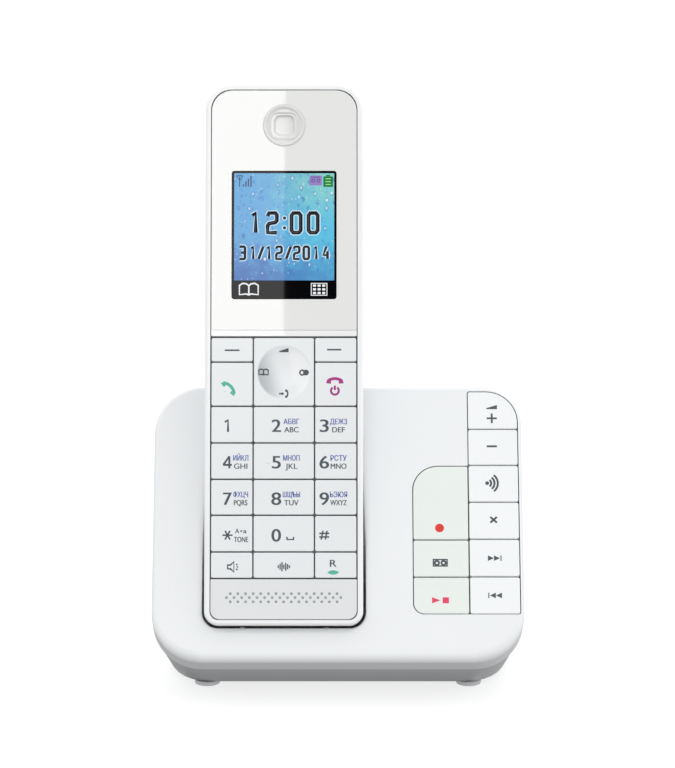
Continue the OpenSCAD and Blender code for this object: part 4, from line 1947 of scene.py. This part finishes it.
@dataclass
class Display:
    """The display: black surround, lit picture, clock, date and signs.

    Attributes:
        top: height of the surround's front.
        level: distance between the thin levels of signs on it.
    """

    picture_x: Point = (-14.12, 14.18)
    picture_y: Point = (97.26, 127.8)
    top: float = -0.1
    level: float = 0.016

    def build(self) -> None:
        """Builds the display in layers."""
        self._surround()
        self._picture()
        self._clock()
        self._signs()

    def _surround(self) -> None:
        """The black surround with the module behind it."""
        box = HANDSET.box("handset_lcd")
        glass = Bench.rounded(
            "glass", Box.of((-14.75, 14.75), (92.0, 128.4), (-3.6, self.top)), (0.7,) * 4, 5
        )
        Bench.soften(glass, self.top, 0.06, 2)
        module = Bench.block("module", box.layer(box.low.z, -3.55))
        Bench.bevel(module, lambda a, b: True, 0.2, 2)
        glass = Bench.join(glass, [module])
        Bench.smooth(glass)
        node = "handset_lcd"
        settle(glass, "display_surround", HANDSET, "handset", SCREEN_BLACK, [node])

    def _picture(self) -> None:
        """The lit picture."""
        z = (self.top - 0.02, self.top + 0.008)
        field_box = Box.of(self.picture_x, self.picture_y, z)
        picture = Bench.rounded("picture", field_box, (0.15,) * 4, 2)
        low = (self.picture_x[0], self.picture_y[0])
        high = (self.picture_x[1], self.picture_y[1])
        drops = Droplets("droplets", HANDSET, low, high)
        settle(picture, "display_picture", HANDSET, "handset", drops)

    def _glyph(self, sign: str, x: Point, y: Point, width: float) -> list[tuple[Loop, float, bool]]:
        """The lines of one figure within a cell.

        Args:
            sign: the figure.
            x: the cell's left and right edge.
            y: its lower and upper edge.
            width: the line's width.

        Returns:
            The lines.
        """
        half = width / 2
        left, low = x[0] + half, y[0] + half
        wide, high = x[1] - x[0] - width, y[1] - y[0] - width
        return [
            ([(left + a * wide, low + b * high) for a, b in loop], width, closed)
            for loop, closed in GLYPHS[sign]
        ]

    def _lay(self, mark: Mark, name: str, level: int) -> None:
        """Lays a mark on the picture, on one of several thin levels."""
        PRINTER.lay(mark, name, self.top + Printer.film + level * self.level, HANDSET, "handset")

    def _clock(self) -> None:
        """The time and the date, each with a pale edge behind it."""
        time_cells = [
            ("1", (-9.4, -7.2)), ("2", (-5.1, -1.6)), ("0", (1.65, 5.15)), ("0", (6.45, 9.95)),
        ]
        date_cells = [
            ("3", (-12.85, -10.75)), ("1", (-9.5, -8.2)), ("/", (-7.5, -5.6)), ("1", (-5.0, -3.7)),
            ("2", (-2.5, -0.4)), ("/", (0.3, 2.2)), ("2", (2.5, 4.6)), ("0", (5.25, 7.3)),
            ("1", (8.4, 9.6)), ("4", (10.8, 12.9)),
        ]
        time_lines, date_lines = [], []
        for sign, x in time_cells:
            time_lines += self._glyph(sign, x, (110.4, 116.9), 0.9)
        for sign, x in date_cells:
            date_lines += self._glyph(sign, x, (103.05, 107.15), 0.6)
        colon = [Shape.disc(0.1, y, 0.46)[0] for y in (112.2, 115.0)]
        pale_colon = [Shape.disc(0.1, y, 0.72)[0] for y in (112.2, 115.0)]
        glow = [(loop, width + 0.46, closed) for loop, width, closed in time_lines + date_lines]
        self._lay(Mark(LIT_GLOW, fills=pale_colon, lines=glow), "display_figure_edges", 0)
        figures = Mark(LIT_BLACK, fills=colon, lines=time_lines + date_lines)
        self._lay(figures, "display_figures", 5)

    def _signs(self) -> None:
        """Signal, tape, battery, book and menu signs."""
        bars = [
            Shape.bar(-11.55 + 0.72 * i, 123.95 + 0.38 * (i + 1), 0.42, 0.76 * (i + 1))[0]
            for i in range(4)
        ]
        mast = [
            ([(-12.6, 123.95), (-12.6, 127.1)], 0.2, False),
            ([(-13.5, 127.1), (-12.6, 125.7), (-11.7, 127.1)], 0.2, False),
            ([(-13.5, 127.1), (-11.7, 127.1)], 0.2, False),
        ]
        self._lay(Mark(LIT_NAVY, fills=bars, lines=mast), "display_signal", 0)
        tape = Mark(LIT_VIOLET, fills=Shape.bar(8.95, 125.75, 3.5, 2.8))
        self._lay(tape, "display_tape_field", 0)
        reels = [(Shape.ring(8.95 + s, 125.7, 0.42, 18), 0.16, True) for s in (-0.75, 0.75)]
        reels.append(([(7.6, 126.7), (10.3, 126.7)], 0.16, False))
        self._lay(Mark(LIT_NAVY, lines=reels), "display_tape", 1)
        battery = Shape.bar(12.44, 125.4, 2.7, 3.0) + Shape.bar(12.44, 127.12, 1.2, 0.4)
        self._lay(Mark(LIT_GREEN, fills=battery), "display_battery_field", 0)
        charge = [Shape.bar(12.44, y, 1.5, 0.22)[0] for y in (124.6, 125.4, 126.2)]
        self._lay(Mark(LIT_LIME, fills=charge), "display_battery", 1)
        book = [(line, 0.34, False) for line in Shape.moved(BOOK, -9.94, 94.7, 0, 5.3)]
        self._lay(Mark(LIT_WHITE, lines=book), "display_book", 0)
        rows = [94.74 + s * 1.05 for s in (-1, 0, 1)]
        dots = [Shape.bar(9.91 + s * 1.3, y, 0.85, 0.62)[0] for s in (-1, 0, 1) for y in rows]
        border = [([(7.7, 93.05), (12.12, 93.05), (12.12, 96.43), (7.7, 96.43)], 0.24, True)]
        self._lay(Mark(LIT_WHITE, fills=dots, lines=border), "display_menu", 0)


@dataclass
class HandsetBack:
    """Rear cover, battery door and what lies inside the handset."""

    shells: tuple[tuple[str, str, float, str], ...] = (
        ("handset_rear_cover", "rear_cover", 0.35, "handset"),
        ("battery_cover", "battery_door", 0.25, "battery_cover"),
    )
    inside: tuple[tuple[str, Finish], ...] = (
        ("handset_receiver", BLACK_PLASTIC), ("handset_pcb", BOARD),
        ("handset_keypad_membrane", RUBBER), ("handset_microphone", STEEL),
        ("handset_ringer_speaker", BLACK_PLASTIC), ("handset_charge_plates", STEEL),
        ("handset_screws", STEEL), ("battery_cell_left", CELL), ("battery_cell_right", CELL),
        ("battery_contacts", STEEL), ("navigator_pivot", BLACK_PLASTIC),
    )

    def build(self) -> None:
        """Refines the outer pieces and dresses the inner ones."""
        for node, name, edge, body in self.shells:
            refine(node, name, edge, body, CASE_WHITE)
        for node, finish in self.inside:
            finish.dress(frame["nodes"][node])


# --- base


@dataclass
class BaseFront:
    """The base's front shell with the handset's pocket and the key tray.

    Attributes:
        corner: corner radius of the face, and of its upper right corner.
        depth: depth of the shell square to the face.
        lip: how far it is rounded along the bottom.
        pocket_foot: the pocket's lower end, along the handset.
        pocket_layers: depth below the handset's front, inset at the sides and at the foot.
        snug: how much closer than its stated layers the pocket's skin stands.
        seam: width of the chamfer along the seam with the rear shell.
        pocket_corner: radius of the corners at the pocket's foot.
        tray: the key tray's ranges, and tray_radii its corners.
        wells: the ranges and corners of the two hollows that the keys lie in.
        contacts: half the distance between the charging contacts, and their depth.
    """

    corner: tuple[float, float] = (14.0, 11.0)
    depth: float = 9.5
    edge: float = 1.2
    lip: float = 3.0
    wall: float = 2.0
    pocket_half: float = 23.4
    pocket_foot: float = -0.9
    pocket_layers: tuple[tuple[float, float, float], ...] = (
        (-10.6, 0.0, 0.0), (-17.75, 1.1, 0.44), (-20.6, 5.0, 2.0),
    )
    pocket_wall: float = 1.8
    pocket_edge: float = 1.8
    snug: float = 0.25
    seam: float = 0.35
    pocket_corner: float = 4.6
    tray: tuple[Point, Point, Point] = ((19.6, 52.1), (11.9, 81.1), (-3.8, -1))
    tray_radii: tuple[float, ...] = (3, 2, 9, 3)
    wells: tuple[tuple[Point, Point, tuple[float, ...]], ...] = (
        ((37.02, 51.58), (13.42, 80.18), (0.7, 0.7, 9.35, 0.7)),
        ((21.12, 38.1), (13.42, 57.58), (3.2, 0.7, 0.7, 7.35)),
    )
    stem_hole: float = 2.0
    contacts: Point = (12, -14.5)

    def _outline(self, name: str, margin: float, z: Point) -> Object:
        """A slab with the face's outline drawn in by a margin.

        Args:
            name: its name.
            margin: how far it is drawn in.
            z: its lower and upper side.

        Returns:
            The slab.
        """
        box = FACE.box("base_front_shell").layer(*z).drawn_in(margin)
        r, keys = (radius - margin for radius in self.corner)
        return Bench.rounded(name, box, (r, r, keys, r), 16)

    def _pocket(self, grow: float) -> Object:
        """The pocket's form, in the face's millimetres.

        Args:
            grow: how much larger it is than the pocket, on every side.

        Returns:
            The form.
        """
        top = HANDSET.box("handset_front_frame").high.y
        half, foot = self.pocket_half + grow, self.pocket_foot - grow
        first = self.pocket_layers[0][0]
        foot_radius = self.pocket_corner + grow / 2
        outline = Box.of((-half, half), (foot, top), (first, 60))
        form = Bench.rounded("pocket", outline, (foot_radius, foot_radius, 1, 1), 8)
        last, width, length = first, half, top - foot
        for depth, inset, rise in self.pocket_layers[1:]:
            depth -= grow if depth < -20 else 0
            Bench.faces(form, lambda c, n, z=last: abs(c.z - z) < 0.01 and n.z < -0.9)
            bpy.ops.mesh.extrude_region_move(TRANSFORM_OT_translate={"value": (0, 0, depth - last)})
            new_width, new_length = half - inset, top - foot - rise
            bpy.ops.transform.resize(
                value=(new_width / width, new_length / length, 1), center_override=(0, top, depth)
            )
            Bench.done()
            last, width, length = depth, new_width, new_length
        form.data.transform(FACE.matrix().inverted() @ HANDSET.matrix())
        return form

    def build(self) -> None:
        """Shapes the shell in the order in which its forms cut each other."""
        shell = self._outline("shell", 0, (-self.depth, 0))
        self._round_front(shell)
        Bench.soften(shell, -self.depth, self.seam, 2)
        inside = self._outline("inside", self.wall, (-self.depth - 1, -self.wall))
        Bench.combine(shell, inside, "DIFFERENCE")
        tub = self._pocket(self.pocket_wall)
        Bench.combine(tub, self._outline("limit", 1.0, (-40, -1)), "INTERSECT")
        Bench.combine(shell, tub, "UNION")
        tray = Bench.rounded("tray", Box.of(*self.tray), self.tray_radii, 6)
        Bench.combine(shell, tray, "UNION")
        Bench.combine(shell, self._pocket(-self.snug), "DIFFERENCE")
        self._round_pocket(shell)
        for x, y, radii in self.wells:
            well = Bench.rounded("well", Box.of(x, y, (-2.6, 2)), radii, 10)
            Bench.combine(shell, well, "DIFFERENCE")
        stems = [stem_hole(FACE, node, self.stem_hole, (-5, -2)) for node in BASE_KEYS]
        Bench.combine(shell, Bench.join(stems[0], stems[1:]), "DIFFERENCE")
        Bench.combine(shell, self._contact_holes(), "DIFFERENCE")
        Bench.smooth(shell, 24)
        settle(shell, "base_face", FACE, "base", BASE_FACE, ["base_front_shell"])

    def _round_front(self, shell: Object) -> None:
        """Rounds the front edge, more along the bottom than elsewhere.

        Args:
            shell: the solid shell.
        """
        mesh = shell.data
        weights = mesh.attributes.new("bevel_weight_edge", "FLOAT", "EDGE").data
        for edge in mesh.edges:
            a, b = (mesh.vertices[i].co for i in edge.vertices)
            if max(abs(a.z), abs(b.z)) < Bench.near:
                rise = min(1.0, max(0.0, (a.y + b.y) / 2 / self.corner[0]))
                weights[edge.index].value = 1 - rise * (1 - self.edge / self.lip)
        settings = {"segments": 7, "limit_method": "WEIGHT", "use_clamp_overlap": False}
        Bench.modify(shell, "BEVEL", width=self.lip, **settings)

    def _round_pocket(self, shell: Object) -> None:
        """Rounds the pocket's edge on the face.

        Args:
            shell: the shell with its pocket cut.
        """
        back = HANDSET.matrix().inverted() @ FACE.matrix()
        limit = FACE.box("base_front_shell").drawn_in(self.edge + 0.5)

        def on_pocket(a: Vector, b: Vector) -> bool:
            """Whether an edge lies both in the face and on the pocket's wall.

            Args:
                a: one end of the edge.
                b: its other end.

            Returns:
                True where it does.
            """
            if max(abs(a.z), abs(b.z)) > 0.01:
                return False
            for p in (a, b):
                q = back @ p
                if abs(q.x) > self.pocket_half or p.y > limit.high.y + 0.6:
                    return False
            return self._on_wall(back @ ((a + b) / 2))

        Bench.edges(shell, on_pocket)
        bpy.ops.mesh.bevel(offset=self.pocket_edge, segments=5, affect="EDGES", clamp_overlap=False)
        Bench.done()

    def _on_wall(self, q: Vector) -> bool:
        """Whether a point of the handset's plane lies on the pocket's wall.

        Args:
            q: the point.

        Returns:
            True where it does.
        """
        half, foot = self.pocket_half - self.snug, self.pocket_foot + self.snug
        radius = self.pocket_corner - self.snug / 2
        if q.z < -10.55:
            return abs(q.x) < half
        if abs(abs(q.x) - half) < 0.02 and q.y > foot + radius - 0.02:
            return True
        if abs(q.y - foot) < 0.02 and abs(q.x) < half - radius + 0.02:
            return True
        away = math.hypot(abs(q.x) - (half - radius), q.y - (foot + radius))
        return abs(away - radius) < 0.06 and q.y < foot + radius

    def _contact_holes(self) -> Object:
        """The cutter of the two charging contacts' holes.

        Returns:
            The cutter.
        """
        x, depth = self.contacts
        holes = [
            Bench.round_bar("hole", (side, depth), 1.5, (-4, 0.5), 24, lying=True)
            for side in (-x, x)
        ]
        tool = Bench.join(holes[0], holes[1:])
        tool.data.transform(FACE.matrix().inverted() @ HANDSET.matrix())
        return tool


@dataclass
class BaseBack:
    """Rear shell, feet, jacks, contacts and inner parts of the base."""

    outside: tuple[tuple[str, str, float, Finish, str], ...] = (
        ("base_rear_shell", "base_cabinet", 0, CABINET_PAINTED_SHADE, "case_white"),
        ("base_rubber_feet", "feet", 0.3, FOOT_RUBBER, "foot_rubber"),
        ("line_jack", "line_socket", 0.15, BLACK_PLASTIC, "black_plastic"),
        ("dc_jack", "power_socket", 0.15, BLACK_PLASTIC, "black_plastic"),
    )
    inside: tuple[tuple[str, Finish], ...] = (
        ("base_pcb", BOARD), ("base_speaker", BLACK_PLASTIC),
        ("base_keypad_membrane", RUBBER), ("base_screws", STEEL),
    )

    def build(self) -> None:
        """Refines the outer pieces and dresses the inner ones."""
        for node, name, edge, finish, slot in self.outside:
            refine(node, name, edge, "base", finish)
        for side in ("left", "right"):
            node = f"charge_contact_{side}"
            refine(node, f"contact_pin_{side}", 0.3, node, STEEL, 3)
        for node, finish in self.inside:
            finish.dress(frame["nodes"][node])


@dataclass
class AnswerKeys:
    """The keys on the base's face and their signs.

    Attributes:
        right: middle of the right column.
        left: middle of the left column.
        stroke: width of the drawn lines.
    """

    right: float = 44.1
    left: float = 28.9
    stroke: float = 0.46
    radii: dict[str, tuple[float, ...]] = field(
        default_factory=lambda: {
            "volume_up_key": (0.5, 0.5, 9.1, 0.5),
            "record_key": (0.5, 0.5, 0.5, 7.1),
            "play_stop_key": (3.0, 0.5, 0.5, 0.5),
        }
    )
    greenish: tuple[str, ...] = ("record_key", "greeting_key", "play_stop_key")

    def build(self) -> None:
        """Builds the caps and prints their signs."""
        for node in BASE_KEYS:
            pale = node in self.greenish
            finish = ANSWER_WHITE if pale else BASE_KEY_WHITE
            slot = "answer_key_white" if pale else "key_white"
            KeyCap(node, FACE, finish, slot, self.radii.get(node, KeyCap.radii)).build()
        for node, mark in self._signs().items():
            PRINTER.lay(mark, f"{node}_print", 0.014, FACE, node)

    def _signs(self) -> dict[str, Mark]:
        """The sign of each key.

        Returns:
            The signs by key.
        """
        x, left = self.right, self.left
        plus = Shape.bar(x, 71.9, 2.9, 0.55)
        plus += Shape.bar(x, 72.77, 0.55, 1.18) + Shape.bar(x, 71.03, 0.55, 1.18)
        wedge = [[(x - 1.55, 74.7), (x + 1.55, 74.7), (x + 1.55, 75.95), (x - 1.55, 75.0)]]
        arcs = [Shape.arc(x - 1.7, 52.3, r, -50, 50, 12) for r in (1.25, 2.2, 3.15)]
        waves = [(arc, self.stroke, False) for arc in arcs]
        cross = [
            ([(x - 0.85, start), (x + 1.0, end)], self.stroke, False)
            for start, end in ((40.5, 42.2), (42.2, 40.5))
        ]
        tape = [(Shape.ring(left + s, 28.55, 0.6, 20), 0.42, True) for s in (-0.95, 0.95)]
        tape.append((Shape.bar(left, 28.6, 3.9, 1.9)[0], 0.44, True))
        return {
            "volume_up_key": Mark(GREY_INK, fills=wedge + plus),
            "volume_down_key": Mark(GREY_INK, fills=Shape.bar(x - 0.1, 63.4, 2.9, 0.58)),
            "locator_key": Mark(GREY_INK, fills=Shape.disc(x - 1.6, 52.3, 0.55), lines=waves),
            "erase_key": Mark(GREY_INK, lines=cross),
            "next_key": Mark(GREY_INK, fills=self._skip(x + 0.25, 29.95, 1)),
            "previous_key": Mark(GREY_INK, fills=self._skip(x + 0.15, 18.97, -1)),
            "record_key": Mark(RED_INK, fills=Shape.disc(left - 0.1, 38.9, 1.27, 40)),
            "greeting_key": Mark(GREY_INK, lines=tape),
            "play_stop_key": Mark(
                ROSE_INK,
                fills=[[(left - 2.4, 16.65), (left - 0.1, 17.55), (left - 2.4, 18.45)]]
                + Shape.bar(left + 1.45, 17.55, 1.75, 1.75),
            ),
        }

    @staticmethod
    def _skip(x: float, y: float, side: int) -> list[Loop]:
        """Two arrow heads and a bar, pointing to one side.

        Args:
            x: their middle across.
            y: their middle up.
            side: 1 to point right, -1 to point left.

        Returns:
            The loops.
        """
        heads = []
        for s in (-1.1, 0.62):
            back, tip = x + side * (s - 0.85), x + side * (s + 0.85)
            heads.append([(back, y - 0.8), (tip, y), (back, y + 0.8)])
        loops = heads + Shape.bar(x + side * 1.75, y, 0.3, 1.6)
        return loops if side > 0 else [loop[::-1] for loop in loops]


# --- light and camera


class Sky(Enum):
    """Brightness of the studio's surroundings by direction."""

    ABOVE = 1.12
    LEVEL = 0.95
    BELOW = 0.22
    SIDE = 0.11
    FLANK = 0.55


@dataclass
class Studio:
    """Pale floor, soft surroundings, one glossy light card and the camera.

    Attributes:
        lens: its focal length for a sensor whose long side is 36 mm.
        aim_up: height of the point it looks at.
        aim_in: how far that point lies behind the base's front edge.
        aim_side: how far it lies to the side of the base's middle.
        card_edge: where the light card's right edge stands.
        card_ahead: how far it stands ahead of the handset.
        flag_behind: how far the black flag stands behind the card.
    """

    distance: float = 1.0
    tilt: float = 14.0
    lens: float = 165.5
    aim_up: float = 0.0868
    aim_in: float = 0.030
    card_edge: float = -0.0256
    card_wide: float = 0.11
    card_z: Point = (0.345, 0.56)
    card_ahead: float = 0.62
    card_light: float = 4.6
    aim_side: float = -0.00015
    flag_behind: float = 0.02
    flag_wide: float = 1.6
    flag_z: Point = (0.29, 1.3)

    def build(self) -> None:
        """Sets up floor, surroundings, card and camera."""
        self._floor()
        self._surroundings()
        self._card()
        self._camera()

    @staticmethod
    def _dress(obj: Object, name: str, inputs: dict) -> None:
        """Gives the floor or the flag its material.

        Args:
            obj: the floor or the flag.
            name: the material's name.
            inputs: the shader's values.
        """
        material = bpy.data.materials.new(name)
        material.use_nodes = True
        Nodes(material.node_tree).surface(inputs)
        obj.data.materials.append(material)

    def _floor(self) -> None:
        """The plain pale floor, which lights nothing from below."""
        Bench.clear()
        bpy.ops.mesh.primitive_plane_add(size=16)
        floor = bpy.context.object
        floor.name = "floor"
        floor.visible_diffuse = False
        floor.visible_glossy = False
        inputs = {
            "Base Color": (0.4, 0.4, 0.4, 1.0),
            "Roughness": 0.9,
            "Specular IOR Level": 0.1,
            "Emission Color": (1.0, 1.0, 1.0, 1.0),
            "Emission Strength": 0.7,
        }
        self._dress(floor, "pale_floor", inputs)

    def _surroundings(self) -> None:
        """Soft light from above that fades below the horizon."""
        world = bpy.data.worlds.new("studio")
        bpy.context.scene.world = world
        world.use_nodes = True
        nodes = Nodes(world.node_tree)
        coordinates = nodes.add("ShaderNodeTexCoord", {}, {})
        parts = nodes.add("ShaderNodeSeparateXYZ", {}, {0: coordinates.outputs["Generated"]})
        rise = Num(nodes, parts.outputs["Z"])
        upper = rise.ramp(0.0, 0.8) * (Sky.ABOVE.value - Sky.LEVEL.value)
        strength = rise.ramp(-0.4, 0.02) * (Sky.LEVEL.value - Sky.BELOW.value) + Sky.BELOW.value
        across = Num(nodes, parts.outputs["X"])
        flank = across * across * rise.ramp(0.1, -0.3) * Sky.FLANK.value
        side = across * Sky.SIDE.value + flank
        background = nodes.add(
            "ShaderNodeBackground",
            {},
            {"Color": (0.985, 0.995, 1.0, 1.0), "Strength": strength + upper + side},
        )
        nodes.add("ShaderNodeOutputWorld", {}, {"Surface": background.outputs[0]})

    def _card(self) -> None:
        """The light card whose right edge shows as an upright line in the glossy panel."""
        panel = HANDSET.box("handset_front_panel")
        front = HANDSET.matrix() @ Vector((0, panel.centre.y, 0))
        high = self.card_z[1] - self.card_z[0]
        light = bpy.data.lights.new("card", "AREA")
        light.shape = "RECTANGLE"
        light.size, light.size_y = self.card_wide, high
        light.energy = self.card_light * math.pi * self.card_wide * high
        card = bpy.data.objects.new("card", light)
        bpy.context.scene.collection.objects.link(card)
        ahead = front.y - self.card_ahead
        card.location = (self.card_edge - self.card_wide / 2, ahead, sum(self.card_z) / 2)
        card.rotation_euler = (math.radians(90), 0, 0)
        self._flag(ahead - self.flag_behind)

    def _flag(self, at: float) -> None:
        """The black flag behind the light card, which only reflections see.

        Args:
            at: how far ahead of the telephone it stands.
        """
        Bench.clear()
        low, high = self.flag_z
        bpy.ops.mesh.primitive_plane_add(
            size=1,
            location=(0, at, (low + high) / 2),
            rotation=(math.radians(90), 0, 0),
            scale=(self.flag_wide, high - low, 1),
        )
        flag = Bench.taken("flag")
        for ray in ("camera", "diffuse", "transmission", "shadow"):
            setattr(flag, f"visible_{ray}", False)
        black = (0.002, 0.002, 0.002, 1.0)
        inputs = {"Base Color": black, "Roughness": 0.9, "Specular IOR Level": 0.0}
        self._dress(flag, "black_flag", inputs)

    def _camera(self) -> None:
        """The camera, looking down at the telephone from the front."""
        low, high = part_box("base_front_shell")
        middle = (low.x + high.x) / 2
        aim = Vector((middle + self.aim_side, FACE.origin.y + self.aim_in, self.aim_up))
        tilt = math.radians(self.tilt)
        data = bpy.data.cameras.new("camera")
        data.lens = self.lens
        data.sensor_width = 36
        camera = bpy.data.objects.new("camera", data)
        bpy.context.scene.collection.objects.link(camera)
        back = Vector((0, -math.cos(tilt), math.sin(tilt)))
        camera.location = aim + back * self.distance
        camera.rotation_euler = (-back).to_track_quat("-Z", "Y").to_euler()
        bpy.context.scene.camera = camera
        bpy.context.scene.view_settings.view_transform = "Standard"


def main() -> None:
    """Builds every sub-assembly in order."""
    logging.basicConfig(level=logging.INFO, format="%(name)s %(message)s")
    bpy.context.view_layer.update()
    handset = (HandsetFront(), Keypad(), Display(), HandsetBack())
    base = (BaseFront(), BaseBack(), AnswerKeys())
    for part in (*handset, *base, Studio()):
        part.build()
    bpy.context.view_layer.update()


if __name__ == "__main__":
    main()
